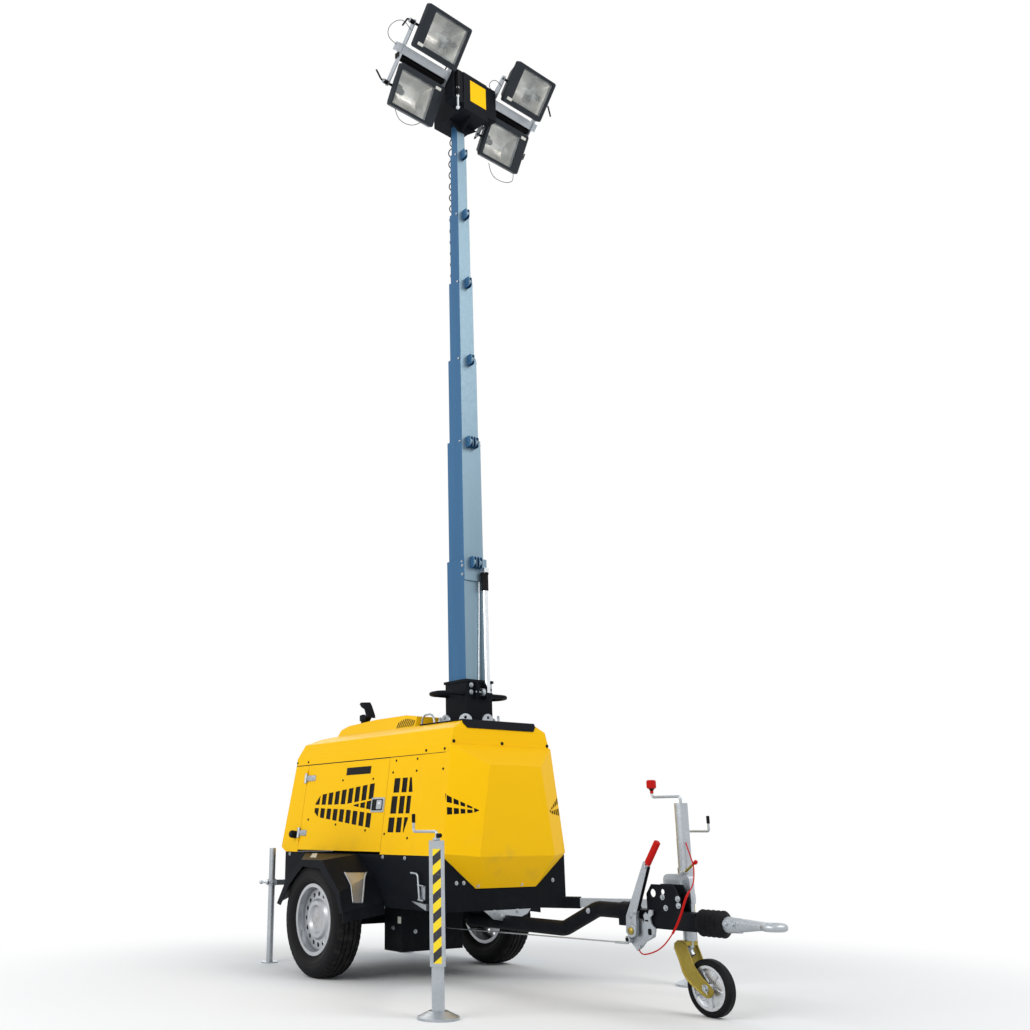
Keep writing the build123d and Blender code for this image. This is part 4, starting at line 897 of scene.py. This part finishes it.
def side_screws():
    for side, name in SIDES:
        for group, places in SIDE_SCREWS.items():
            screws = Shape()
            for x, z in places:
                spot = side_place(x, z, side, 0.0002)
                screws.turned([(0, 0), (0.0065, 0), (0.006, 0.0025), (0.0035, 0.004), (0, 0.0042)], spot, 12)
            body = f"door_{name}" if group == "door" else "chassis"
            screws.made(f"{group}_screws_{name}", "black_plastic", body)


side_screws()


# Painted shade: dark sheets set into the vents stand for the shade inside them
VENT_SHADE_INSET = 0.0042
DOOR_VENT_SHADE = ((-0.475, 0.835), (-0.420, 0.800), (0.172, 0.740), (0.172, 1.005), (-0.420, 0.955), (-0.475, 0.900))


def vent_painted_shade():
    # Each dark sheet is painted shade, inset behind the vent's face.
    for side, name in SIDES:
        for label, body, outline in (
            ("door_vent_shade", f"door_{name}", DOOR_VENT_SHADE),
            ("panel_vent_shade", "chassis", ((0.320, 0.715), (0.555, 0.715), (0.555, 1.030), (0.320, 1.030))),
        ):
            place = side_place(0, SILL_Z, side, -VENT_SHADE_INSET)
            points = [(x, -side * (z - SILL_Z) / math.cos(SIDE_LEAN)) for x, z in outline]
            Shape().prism(points, -0.001, place).made(f"{label}_{name}", "black_plastic", body)
        place = placed(
            (AXLE_X + 0.8494, side * 0.3523, 0.887), (0.8605, side * 0.5030, 0.0813),
            (0.5046, -side * 0.8633, 0),
        )
        points = [(s, -side * t) for s, t in ((-0.028, -0.078), (0.144, -0.066), (0.144, -0.034), (-0.028, 0.032))]
        Shape().prism(points, -0.001, shift(place, 0, 0, -VENT_SHADE_INSET)).made(
            f"nose_vent_shade_{name}", "black_plastic", "chassis",
        )


vent_painted_shade()


# Door latches, side plate and head plate
def door_latch(side, name):
    body = f"door_{name}"
    middle = side_place(0.2155, 0.874, side)
    frame_part = Shape()
    frame_part.prism(rounded_box(0.128, 0.080, 0.008), 0.005, middle, taper=0.0015)
    frame_part.prism(rounded_box(0.050, 0.052, 0.005), 0.010, shift(middle, 0.022, 0), taper=0.002)
    frame_part.made(f"latch_{name}", "galvanised", body)
    Shape().prism(
        rounded_box(0.104, 0.060, 0.006), 0.0056, middle,
    ).made(f"latch_recess_{name}", "black_plastic", body)
    Shape().turned(
        [(0, 0), (0.0085, 0), (0.0085, 0.012), (0.007, 0.014), (0, 0.014)],
        shift(middle, 0.026, 0.006), 20,
    ).made(f"latch_barrel_{name}", "chrome_rod", body)


for side, name in SIDES:
    door_latch(side, name)

Shape().prism(
    rounded_box(0.255, 0.042, 0.002), 0.0011, side_place(-0.0225, 1.066, RIGHT),
).made("side_plate", "black_plastic", "door_right")

head_front = placed(head_place(HEAD_FRONT, 0, HEAD_Z), HEAD_AHEAD, HEAD_LEFT)
Shape().prism(
    rounded_box(0.140, 0.156, 0.002), 0.0011, shift(head_front, 0.022, 0.015),
).made("head_plate", "yellow_paint", "mast_head")


# Fasteners on the canopy and the skirt. The roof's rim leans in from its foot to its top
RIM_FOOT_Z, RIM_TOP_Z = 1.1263, 1.165
RIM_HALF, RIM_LEAN = 0.3352, 0.002
RIM_SCREW_Z = 1.142
SKIRT_FACE = 0.4042


def fasteners():
    dark = Shape()
    for y in (-0.313, 0.005, 0.320):
        spot = facing("ahead", 0.8272, y, 1.178)
        dark.turned([(0, 0), (0.009, 0), (0.0085, 0.003), (0.005, 0.0048), (0, 0.005)], spot, 14)
    for side in (RIGHT, LEFT):
        for x in (-0.745, -0.611, 0.618, 0.779):
            share = (RIM_SCREW_Z - RIM_FOOT_Z) / (RIM_TOP_Z - RIM_FOOT_Z)
            spot = at(x, side * (RIM_HALF - RIM_LEAN * share), RIM_SCREW_Z)
            spot = placed(spot, (0, side, 0.05), (1, 0, 0))
            dark.turned([(0, 0), (0.0075, 0), (0.007, 0.0025), (0.004, 0.004), (0, 0.0042)], spot, 12)
    dark.made("roof_screws", "black_plastic", "chassis")
    bright = Shape()
    for side in (RIGHT, LEFT):
        for x, z in ((0.316, 0.607), (0.519, 0.605), (-0.690, 0.606), (-0.120, 0.606), (0.790, 0.606)):
            bolt(bright, facing(side, x, side * SKIRT_FACE, z), 0.011, 0.005)
    for y in (-0.316, -0.271, 0.190, 0.316):
        bolt(bright, facing("ahead", 0.8352, y, 0.493), 0.011, 0.005)
    bright.made("skirt_bolts", "galvanised", "chassis")


fasteners()


# Rubber buffers behind the lower hinges
def buffers():
    for side, name in SIDES:
        Shape().turned(
            [(0, 0), (0.020, 0), (0.022, 0.006), (0.022, 0.036), (0.018, 0.042), (0, 0.043)],
            side_place(-0.640, 0.716, side), 24,
        ).made(f"door_buffer_{name}", "rubber", "chassis")


buffers()


# Lifting ring on the roof
RING_Y = -0.200
ring = Shape().swept(bent([
    at(x, RING_Y, z) for x, z in ((0.392, 1.286), (0.402, 1.350), (0.500, 1.350), (0.512, 1.289))
], 0.045, 8), 0.0055, 12)
for x in (0.392, 0.512):
    spot = facing("up", x, RING_Y, 1.2882)
    ring.turned([(0, 0), (0.014, 0), (0.014, 0.003), (0.010, 0.008), (0, 0.008)], spot, 20)
ring.made("lifting_ring", "galvanised", "chassis")


# Door hinges in bright zinc over their pins
HINGE_X = -0.5995


def door_hinges(side, name):
    leaf = Shape()
    for z, x_far in ((1.043, -0.497), (0.727, -0.520)):
        low, high = (side_place(HINGE_X, z + up, side, 0.0085).translation for up in (-0.030, 0.030))
        leaf.rod(low, high, 0.0105, 20)
        middle = side_place((x_far - 0.590) / 2, z, side, 0.0004)
        leaf.prism(rounded_box(x_far + 0.590, 0.036, 0.006), 0.009, middle, taper=0.003)
        for x in (-0.030, 0.022):
            bolt(leaf, shift(middle, x, 0, 0.009), 0.010, 0.003)
    leaf.made(f"hinges_{name}", "galvanised", f"door_{name}")


for side, name in SIDES:
    door_hinges(side, name)


# Black strip in the seam under the roof, and painted shade: dark strips in the louvres' slots
def roof_details():
    # A black strip along the seam under the roof, thinner towards the front.
    seam_strip = Shape()
    for side in (RIGHT, LEFT):
        for start, end, height in ((-0.755, 0.285, 0.0042), (0.286, 0.620, 0.0030), (0.620, 0.795, 0.0022)):
            middle = side_place((start + end) / 2, 1.1252 - height / 2, side, 0.0001)
            seam_strip.prism(rounded_box(end - start, height, 0.0005, 1), 0.0008, middle)
    seam_strip.made("roof_seam_strip", "black_plastic", "chassis")
    # Painted shade: thin dark strips laid in the louvres' slots stand for the shade inside them.
    slot_shade = Shape()
    tops = (1.326, 1.333, 1.338, 1.341, 1.340, 1.337, 1.333, 1.329, 1.325)
    for side in (RIGHT, LEFT):
        for k, top in enumerate(tops):
            x = 0.205 + 0.019 * k
            low, high = 0.2375, 0.248 - (top - 1.270) * 0.4948 + 0.0014
            slot_shade.slab([
                at(x - 0.004, side * (low + 0.0012), 1.292), at(x + 0.004, side * (low + 0.0012), 1.292),
                at(x + 0.004, side * high, top), at(x - 0.004, side * high, top),
            ], (0, -side * 0.003, 0))
    slot_shade.made("louvre_slot_shade", "black_plastic", "chassis")


roof_details()


# Rain cap of the exhaust, standing half open
def exhaust_cap():
    cap = Shape()
    cap.prism([
        (-0.366, 1.488), (-0.356, 1.498), (-0.321, 1.496), (-0.300, 1.470), (-0.266, 1.412), (-0.264, 1.396),
        (-0.278, 1.396), (-0.292, 1.420), (-0.304, 1.452), (-0.330, 1.462), (-0.346, 1.468),
    ], 0.052, upright(-0.074), taper=0.004)
    cap.prism([
        (-0.376, 1.380), (-0.376, 1.420), (-0.340, 1.424), (-0.298, 1.414), (-0.294, 1.397), (-0.322, 1.374),
    ], 0.036, upright(-0.082), taper=0.003)
    cap.rod(at(-0.345, -0.100, 1.352), at(-0.335, -0.100, 1.400), 0.025, 28)
    made = cap.made("rain_cap", "black_paint", "chassis")
    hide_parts("exhaust_cap")


exhaust_cap()


# Fenders: bright step brackets, a pale marker and the flaps at their feet
def fender_details():
    for side, name in SIDES:
        bracket = Shape()
        rows = (
            ((0.2092, 0.5748, 0.5256), (0.2205, 0.4459, 0.5233)),
            ((0.2864, 0.5830, 0.4658), (0.2531, 0.4780, 0.4990)),
            ((0.3292, 0.5973, 0.3841), (0.3282, 0.5388, 0.3822)),
        )
        for upper, lower in zip(rows, rows[1:]):
            bracket.slab([
                at(x + 0.0005, side * y, z + 0.0005) for x, y, z in (upper[0], upper[1], lower[1], lower[0])
            ], (0.0035, 0, 0.0035))
        for left, right in ((0, 0), (1, 1)):
            bracket.swept([
                at(row[left][0] + 0.004, side * row[right][1], row[left][2] + 0.004) for row in rows
            ], 0.0045, 8)
        bracket.made(f"step_bracket_{name}", "wheel_silver", "chassis")
        Shape().slab([
            at(-0.128, side * 0.590, 0.5985), at(-0.345, side * 0.446, 0.6135), at(-0.302, side * 0.440, 0.6140),
            at(-0.062, side * 0.590, 0.5985),
        ], (0, 0, 0.0015)).made(f"fender_marker_{name}", "pale_plastic", "chassis")
        Shape().slab([
            at(0.3405, side * 0.664, 0.345), at(0.334, side * 0.4045, 0.386), at(0.336, side * 0.4045, 0.325),
            at(0.3425, side * 0.664, 0.292),
        ], (-0.004, 0, 0)).made(f"fender_flap_{name}", "black_paint", "chassis")


fender_details()


# On the right skirt: the stowed crank in its holder. Below: tank fittings and the towing hook
def skirt_fittings():
    y = -0.4045
    holder = Shape()
    holder.swept(bent([
        at(0.597, y - 0.016, 0.536), at(0.655, y - 0.016, 0.532), at(0.668, y - 0.016, 0.415),
    ], 0.018, 5), 0.0055, 12)
    holder.rod(at(0.652, y - 0.016, 0.482), at(0.706, y - 0.016, 0.476), 0.004)
    holder.rod(at(0.657, y - 0.016, 0.412), at(0.700, y - 0.016, 0.408), 0.005)
    channel = facing(RIGHT, 0.684, y, 0.444)
    holder.prism(rounded_box(0.034, 0.070, 0.003), 0.006, channel, taper=0.001)
    holder.slab([
        at(x, y - 0.001, z) for x, z in ((0.604, 0.402), (0.728, 0.392), (0.728, 0.364), (0.700, 0.372))
    ], (0, -0.018, 0))
    holder.made("stowed_crank", "galvanised", "chassis")
    Shape().prism(
        rounded_box(0.030, 0.034, 0.002), 0.0012, facing(RIGHT, 0.320, -0.3001, 0.291),
    ).made("tank_tag", "pale_plastic", "chassis")
    bright = Shape()
    bolt(bright, facing(RIGHT, 0.264, -0.3001, 0.250), 0.012)
    bolt(bright, facing("ahead", 0.3401, -0.213, 0.233), 0.012)
    for spot in ((0.8452, -0.190, 0.481), (0.8452, 0.093, 0.481)):
        bolt(bright, facing("ahead", *spot), 0.012)
    bright.slab([
        at(0.836, -0.150, 0.3595), at(0.836, 0.155, 0.3595), at(0.836, 0.130, 0.336), at(0.836, 0.020, 0.300),
        at(0.836, -0.090, 0.318),
    ], (0.004, 0, 0))
    for y_bolt, z_bolt in ((-0.084, 0.350), (0.066, 0.350), (-0.030, 0.328)):
        bolt(bright, facing("ahead", 0.840, y_bolt, z_bolt), 0.013)
    bright.made("underbody_fittings", "galvanised", "chassis")


skirt_fittings()


# Drawbar: handbrake, cables, clamp, towing eye and the jockey wheel's fork
# Pivot of the handbrake, and the right face of its lever
PIVOT_X, PIVOT_Z = 1.749, 0.327
LEVER_FACE = -0.0722


def handbrake():
    plate = Shape()
    plate.prism([
        (1.699, 0.300), (1.711, 0.278), (1.728, 0.262), (1.747, 0.244), (1.777, 0.262), (1.800, 0.285),
        (1.851, 0.308), (1.859, 0.342), (1.846, 0.354), (1.827, 0.353), (1.790, 0.372), (1.745, 0.385),
        (1.716, 0.362), (1.699, 0.331),
    ], 0.008, upright(-0.0363), taper=0.0015)
    plate.prism([
        (1.792, 0.300), (1.832, 0.296), (1.857, 0.318), (1.862, 0.346), (1.846, 0.360), (1.840, 0.386),
        (1.856, 0.398), (1.858, 0.416), (1.838, 0.418), (1.826, 0.398), (1.812, 0.406), (1.800, 0.394),
        (1.806, 0.366), (1.790, 0.350),
    ], 0.007, upright(-0.0455), taper=0.0015)
    crossbar(plate, PIVOT_X, PIVOT_Z, -0.044, -0.0763, 0.009)
    crossbar(plate, 1.7165, 0.290, -0.044, -0.070, 0.0150, 24)
    crossbar(plate, 1.770, 0.262, -0.044, -0.060, 0.008)
    made = plate.made("brake_sector", "galvanised", "chassis")
    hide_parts("brake_bracket")
    # Painted shade: black patches stand for the sector's holes and the hollow end of its tube.
    dark = Shape()
    crossbar(dark, 1.7165, 0.290, -0.0695, -0.0712, 0.0085, 20)
    dark.prism(rounded_box(0.020, 0.026, 0.006), 0.0008, shift(upright(-0.0525), 1.834, 0.328))
    dark.prism(rounded_box(0.018, 0.007, 0.003), 0.0008, shift(upright(-0.0525), 1.820, 0.372))
    dark.made("brake_sector_hole_shade", "black_plastic", "chassis")
    boss = Shape()
    crossbar(boss, PIVOT_X, PIVOT_Z, LEVER_FACE, -0.0775, 0.027, 32)
    bolt(boss, facing(RIGHT, 1.744, LEVER_FACE, 0.385), 0.012)
    bolt(boss, facing(RIGHT, 1.768, LEVER_FACE, 0.402), 0.012)
    for z in (0.592, 0.606):
        crossbar(boss, 1.8475, z, LEVER_FACE, -0.0770, 0.0080)
    boss.made("brake_boss", "galvanised", "brake_lever")
    Shape().turned(
        [(0, 0), (0.015, 0), (0.015, 0.004), (0.010, 0.008), (0, 0.009)],
        facing(RIGHT, PIVOT_X, -0.0775, PIVOT_Z), 24,
    ).made("brake_nut", "zinc_yellow", "brake_lever")
    Shape().prism(
        [(1.784, 0.415), (1.861, 0.590), (1.8625, 0.590), (1.786, 0.410)], 0.017, upright(-0.0545),
    ).made("brake_lever_shade", "black_plastic", "brake_lever")
    grip = Shape()
    low, high = at(1.8535, -0.063, 0.602), at(1.9200, -0.063, 0.695)
    grip.rod(low, high, 0.0145, 28)
    grip.rod(low - (high - low) * 0.12, low, 0.0115, 24)
    grip.made("brake_grip", "red_plastic", "brake_lever")


handbrake()


def breakaway_cable():
    """Red cable from the brake's foot, hanging forward and up to a ring on the jockey clamp."""
    line = nurbs_line([
        at(1.762, -0.0480, 0.254), at(1.790, -0.070, 0.238), at(1.850, -0.092, 0.242), at(1.930, -0.094, 0.270),
        at(2.000, -0.094, 0.335), at(2.050, -0.094, 0.410), at(2.068, -0.080, 0.480), at(2.042, 0.0, 0.520),
        at(2.018, 0.038, 0.556), at(2.000, 0.062, 0.598), at(1.968, 0.080, 0.640), at(1.940, 0.092, 0.690),
    ], 10)
    made = Shape().swept(line, 0.0028, 10).made("breakaway_cable", "red_plastic", "chassis", smooth=60)
    sleeve = Shape().swept(line[38:66], 0.0048, 12)
    sleeve.made("cable_sleeve", "red_plastic", "chassis", smooth=60)
    rod = Shape()
    rod.rod(at(0.400, -0.070, 0.2495), at(1.7165, -0.064, 0.276), 0.0032)
    rod.rod(at(1.640, -0.0655, 0.2735), at(1.7165, -0.064, 0.2755), 0.0052)
    rod.made("brake_rod", "galvanised", "chassis")


breakaway_cable()


# Right face of the drawbar's plates
DRAWBAR_FACE = -0.0341


def jockey_clamp():
    saddle = Shape()
    saddle.prism([
        (1.817, 0.500), (1.817, 0.540), (1.823, 0.553), (1.836, 0.560), (1.946, 0.562), (1.960, 0.556),
        (1.968, 0.544), (1.970, 0.442), (1.950, 0.442), (1.950, 0.500),
    ], 0.026, upright(0.0925), taper=0.002)
    for x in (1.838, 1.872, 1.930):
        bolt(saddle, shift(upright(0.0665), x, 0.530), 0.013)
    saddle.turned([(0.0292, 0), (0.034, 0), (0.034, 0.034), (0.0292, 0.034)],
                  facing("up", 1.903, JOCKEY_Y, 0.552), 40, closed=True)
    saddle.turned([(0.0292, 0), (0.034, 0), (0.034, 0.030), (0.0292, 0.030)],
                  facing("up", 1.903, JOCKEY_Y, 0.448), 40, closed=True)
    saddle.rod(at(1.920, 0.072, 0.560), at(1.944, 0.072, 0.574), 0.011, 20)
    saddle.made("jockey_saddle", "galvanised", "chassis")
    Shape().rod(
        at(1.926, 0.070, 0.558), at(2.003, 0.070, 0.611), 0.0052,
    ).made("jockey_clamp_handle", "zinc_yellow", "chassis")
    Shape().rod(
        at(1.998, 0.070, 0.606), at(2.010, 0.070, 0.616), 0.0085,
    ).made("jockey_clamp_tip", "red_plastic", "chassis")
    bolts = Shape()
    for x, z in ((1.901, 0.470), (1.985, 0.440), (1.915, 0.427), (1.983, 0.466)):
        bolt(bolts, shift(upright(DRAWBAR_FACE), x, z), 0.013)
    bolt(bolts, shift(upright(DRAWBAR_FACE), 1.449, 0.390), 0.013)
    for x in (2.218, 2.252):
        bolt(bolts, facing(RIGHT, x, -0.0290, 0.384), 0.017, 0.009)
    bolts.made("drawbar_bolts", "galvanised", "chassis")


jockey_clamp()


# Heights of the towing bar and its eye, and the drawn neck between them
TOW_Z, EYE_Z = 0.378, 0.383
NECK_START, NECK_LENGTH = 2.205, 0.187


def towing_eye():
    eye = Shape()
    tube = facing("ahead", 1.840, 0, TOW_Z)
    eye.turned([(0, 0), (0.024, 0), (0.024, 0.370), (0, 0.370)], tube, 32)
    eye.turned([
        (0.024, 0.361), (0.030, 0.361), (0.0315, 0.366), (0.0315, 0.384), (0.030, 0.388), (0.0285, 0.430),
        (0.020, 0.436), (0, 0.436),
    ], tube, 36)
    rings = []
    for x, wide, high, corner in (
        (2.205, 0.044, 0.050, 0.016), (2.262, 0.046, 0.050, 0.016), (2.300, 0.050, 0.046, 0.015),
        (2.335, 0.056, 0.038, 0.013), (2.370, 0.062, 0.031, 0.011), (2.392, 0.064, 0.028, 0.011),
    ):
        height = TOW_Z + (EYE_Z - TOW_Z) * (x - NECK_START) / NECK_LENGTH
        place = facing("ahead", x, 0, height)
        rings.append(eye.ring([place @ Vector((u, v, 0)) for u, v in rounded_box(wide, high, corner)]))
    eye.skin(rings)
    eye.turned([
        (0.0205, -0.006), (0.0225, -0.012), (0.029, -0.015), (0.041, -0.0145), (0.0495, -0.009), (0.052, 0),
        (0.0495, 0.009), (0.041, 0.0145), (0.029, 0.015), (0.0225, 0.012), (0.0205, 0.006),
    ], facing("up", 2.425, 0, EYE_Z), 48, closed=True)
    made = eye.made("towing_eye", "galvanised", "chassis", smooth=50)
    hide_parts("tow_eye")


towing_eye()

# Jockey wheel: its axle, and the outline of the fork's plates
WHEEL_X, WHEEL_Z = 1.995, 0.113
FORK = (
    (1.842, 0.262), (1.843, 0.276), (1.856, 0.286), (1.880, 0.288), (1.906, 0.276), (1.922, 0.240),
    (1.937, 0.205), (1.958, 0.180), (1.985, 0.152), (2.020, 0.126), (2.033, 0.112), (2.031, 0.096),
    (2.016, 0.083), (1.996, 0.081), (1.970, 0.093), (1.930, 0.116), (1.898, 0.140), (1.880, 0.166),
    (1.866, 0.208),
)


def jockey_fork():
    fork = Shape()
    for y in (JOCKEY_Y - 0.033, JOCKEY_Y + 0.038):
        fork.prism(FORK, 0.005, upright(y))
    for y in (JOCKEY_Y - 0.0355, JOCKEY_Y + 0.0355):
        fork.swept([at(x, y, z) for x, z in FORK[10:] + FORK[:1]], 0.0042, 8)
    fork.prism(rounded_box(0.060, 0.071, 0.006), 0.018, facing("up", 1.884, JOCKEY_Y, 0.2715))
    crossbar(fork, WHEEL_X, WHEEL_Z, 0.158, 0.082, 0.007)
    made = fork.made("jockey_fork_plates", "zinc_yellow", "jockey_fork")
    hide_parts("jockey_fork")
    bright = Shape()
    bright.swept([
        at(x, JOCKEY_Y, z) for x, z in ((1.884, 0.289), (1.886, 0.262), (1.894, 0.240), (1.903, 0.2275))
    ], 0.019, 20, flat=0.7)
    bolt(bright, facing(RIGHT, WHEEL_X, 0.0820, WHEEL_Z), 0.017, 0.008)
    bright.rod(at(1.986, 0.0735, 0.127), at(2.010, 0.0735, 0.092), 0.0020)
    bolt(bright, facing(LEFT, WHEEL_X, 0.1580, WHEEL_Z), 0.017, 0.008)
    bright.made("jockey_fork_neck", "galvanised", "jockey_fork")
    Shape().turned(
        [(0.016, -0.010), (0.030, -0.004), (0.050, -0.008), (0.066, -0.003), (0.0765, -0.003),
         (0.0765, 0.003), (0.066, 0.003), (0.050, 0.008), (0.030, 0.004), (0.016, 0.010)],
        facing(LEFT, WHEEL_X, JOCKEY_Y, WHEEL_Z), 48, closed=True,
    ).made("jockey_wheel_web", "jockey_disc", "jockey_wheel")


jockey_fork()


# Grips on the cranks
def crank_grips():
    knob = Shape()
    spot = facing("up", 1.738, JOCKEY_Y, 0.924)
    outline = rounded_box(0.037, 0.037, 0.011)
    small = rounded_box(0.029, 0.029, 0.009)
    rings = [knob.ring([spot @ Vector((x, y, z)) for x, y in shape]) for z, shape in (
        (0, small), (0.005, outline), (0.033, outline), (0.038, small),
    )]
    knob.skin(rings)
    knob.rod(at(1.738, JOCKEY_Y, 0.902), at(1.738, JOCKEY_Y, 0.916), 0.0078)
    knob.made("jockey_knob", "red_plastic", "chassis")
    Shape().turned(
        [(0, 0), (0.008, 0), (0.009, 0.003), (0.015, 0.010), (0, 0.010)],
        facing("up", 1.738, JOCKEY_Y, 0.9145), 20,
    ).made("jockey_knob_neck", "black_plastic", "chassis")
    for leg, side, name in LEGS:
        stem = Vector((leg[0] + side * 0.170, leg[1], 0))
        hub = Vector((*leg, 0.7205))
        grip = Shape()
        grip.rod(stem + Vector((0, 0, 0.774)), stem + Vector((0, 0, 0.812)), 0.0082, 18)
        grip.rod(hub + Vector((-side * 0.006, 0, 0)), hub + Vector((-side * 0.030, 0, 0)), 0.0095, 18)
        grip.made(f"crank_grip_{name}", "black_plastic", f"outrigger_{name}")
        Shape().rod(
            Vector((*leg, 0.700)), Vector((*leg, 0.712)), 0.016, 24,
        ).made(f"leg_cap_{name}", "galvanised", f"outrigger_{name}")


crank_grips()


# Rear prop clamps' handles
PROP_X, PROP_Y, PROP_HANDLE_Z = -0.750, 0.489, 0.445


def prop_handles():
    for side, name in SIDES:
        handle = Shape()
        y = side * PROP_Y
        crossbar(handle, PROP_X, PROP_HANDLE_Z, y + side * 0.020, y + side * 0.050, 0.0065)
        handle.rod(at(-0.790, y + side * 0.050, 0.445), at(-0.712, y + side * 0.050, 0.445), 0.0055)
        for x in (-0.790, -0.712):
            ball_grip(handle, at(x, y + side * 0.050, 0.434), at(x, y + side * 0.050, 0.456), 0.011)
        handle.turned([(0.0270, 0), (0.034, 0.002), (0.034, 0.012), (0.0270, 0.014)],
                      facing("up", PROP_X, y, 0.438), 32, closed=True)
        handle.made(f"prop_handle_{name}", "galvanised", "chassis")


prop_handles()


# Mast: turret pulley, the first section's rope, the cylinder's boot and the guide bolts
MAST_TOPS = (
    ("turret", 0.0775, 2.220), ("mast_2", 0.0742, 2.945), ("mast_3", 0.0657, 3.475), ("mast_4", 0.0567, 3.995),
    ("mast_5", 0.0482, 4.475), ("mast_6", 0.0402, 4.915),
)


def mast_details():
    front = 0.652
    cheeks = Shape()
    for y in (-0.030, 0.026):
        cheeks.prism([
            (front, 1.425), (front + 0.030, 1.425), (front + 0.037, 1.440), (front + 0.037, 1.490),
            (front + 0.022, 1.512), (front, 1.512),
        ], 0.004, upright(y + 0.002))
    cheeks.made("turret_pulley_cheeks", "black_paint", "turret")
    wheel = Shape()
    wheel.turned([
        (0.006, -0.009), (0.022, -0.009), (0.0225, -0.007), (0.018, 0),
        (0.0225, 0.007), (0.022, 0.009), (0.006, 0.009),
    ], facing(LEFT, front + 0.019, 0.006, 1.462), 32, closed=True)
    crossbar(wheel, front + 0.019, 1.462, -0.036, 0.036, 0.006)
    for y, z in ((-0.052, 1.500), (-0.052, 1.462), (0.078, 1.500), (0.078, 1.462)):
        bolt(wheel, facing("ahead", 0.6505, y, z), 0.015, 0.007)
    wheel.made("turret_pulley", "galvanised", "turret")
    Shape().rod(
        at(0.6425, 0.006, 1.480), at(0.6425, 0.026, 2.088), 0.0030,
    ).made("mast_rope", "chrome_rod", "turret")
    Shape().turned([
        (0.0165, 0), (0.0205, 0.003), (0.0205, 0.090), (0.0235, 0.096), (0.0235, 0.104), (0.0165, 0.106),
    ], facing("up", 0.668, 0.045, 2.030), 28, closed=True).made("cylinder_boot", "rubber", "turret")
    for body, half, top in MAST_TOPS:
        bolts = Shape()
        for side in (RIGHT, LEFT):
            spot = facing(side, MAST_AHEAD + half - 0.018, side * (half + 0.0002), top - 0.026)
            bolt(bolts, spot, 0.009, 0.003, 1.5)
        if body == "turret":
            for z in (2.120, 2.170):
                bolt(bolts, facing(RIGHT, MAST_AHEAD + half - 0.014, -half - 0.0002, z), 0.011, 0.004, 1.6)
        bolts.made(f"guide_bolts_{body}", "galvanised", body)


mast_details()


# Floor, sky, lamps and camera
def pale_floor():
    mesh = bpy.data.meshes.new("floor")
    mesh.from_pydata([(-40, -40, 0), (40, -40, 0), (40, 40, 0), (-40, 40, 0)], [], [(0, 1, 2, 3)])
    floor = shown("floor", mesh)
    pale = Finish("floor", (0.93, 0.93, 0.93), {"Roughness": 0.95, "Specular IOR Level": 0.0})
    away = (pale.axis("X") ** 2 + pale.axis("Y") ** 2) ** 0.5
    light = pale.node("Emission", None, {"Color": (1, 1, 1, 1), "Strength": 1.0})
    matt = Wire(pale, pale.shader.outputs[0])
    blend = pale.node("MixShader", None, {0: pale.ramp(away, 1.6, 3.6), 1: matt, 2: light})
    pale.tree.links.new(blend.socket, pale.tree.nodes["Material Output"].inputs["Surface"])
    mesh.materials.append(pale.material)


def sky():
    world = bpy.data.worlds.new("sky")
    bpy.context.scene.world = world
    world.use_nodes = True
    tree = world.node_tree
    tree.nodes.clear()
    seen = tree.nodes.new("ShaderNodeLightPath")
    direct = seen.outputs["Is Camera Ray"]
    for ray in ("Is Glossy Ray", "Is Transmission Ray"):
        either = tree.nodes.new("ShaderNodeMath")
        either.operation = "MAXIMUM"
        tree.links.new(direct, either.inputs[0])
        tree.links.new(seen.outputs[ray], either.inputs[1])
        direct = either.outputs[0]
    choose = tree.nodes.new("ShaderNodeMixShader")
    tree.links.new(direct, choose.inputs[0])
    for socket, colour, strength in ((1, (0.90, 0.95, 1.0, 1), 0.50), (2, (1, 1, 1, 1), 1.0)):
        background = tree.nodes.new("ShaderNodeBackground")
        background.inputs["Color"].default_value = colour
        background.inputs["Strength"].default_value = strength
        tree.links.new(background.outputs[0], choose.inputs[socket])
    out = tree.nodes.new("ShaderNodeOutputWorld")
    tree.links.new(choose.outputs[0], out.inputs["Surface"])


def soft_box(name, place, target, size, power, colour):
    light = bpy.data.lights.new(name, "AREA")
    light.shape = "RECTANGLE"
    light.size, light.size_y = size
    light.energy = power
    light.color = colour
    box = shown(name, light)
    box.location = place
    box.rotation_euler = (Vector(target) - Vector(place)).to_track_quat("-Z", "Y").to_euler()


def photograph_camera():
    camera = shown("camera", bpy.data.cameras.new("camera"))
    camera.location = CAMERA_PLACE
    level = math.cos(CAMERA_PITCH)
    aim = Vector((
        level * math.cos(CAMERA_HEADING), level * math.sin(CAMERA_HEADING), math.sin(CAMERA_PITCH),
    ))
    camera.rotation_euler = aim.to_track_quat("-Z", "Y").to_euler()
    camera.data.lens = CAMERA_LENS
    camera.data.sensor_width = 36
    camera.data.shift_x = CAMERA_SHIFT_X
    camera.data.clip_end = 200
    bpy.context.scene.camera = camera


pale_floor()
sky()
soft_box("front_light", (6.5, 2.5, 7.0), (-0.2, 0, 1.6), (5, 4), 300, (1.0, 0.99, 0.97))
soft_box("right_light", (0.5, -7.5, 4.5), (-0.4, 0, 1.2), (6, 4), 300, (1.0, 0.98, 0.95))
soft_box("rear_light", (-7.0, 2.0, 5.0), (-0.4, 0, 1.5), (4, 4), 150, (0.92, 0.96, 1.0))
photograph_camera()
bpy.context.scene.view_settings.view_transform = "Standard"

bpy.context.view_layer.update()
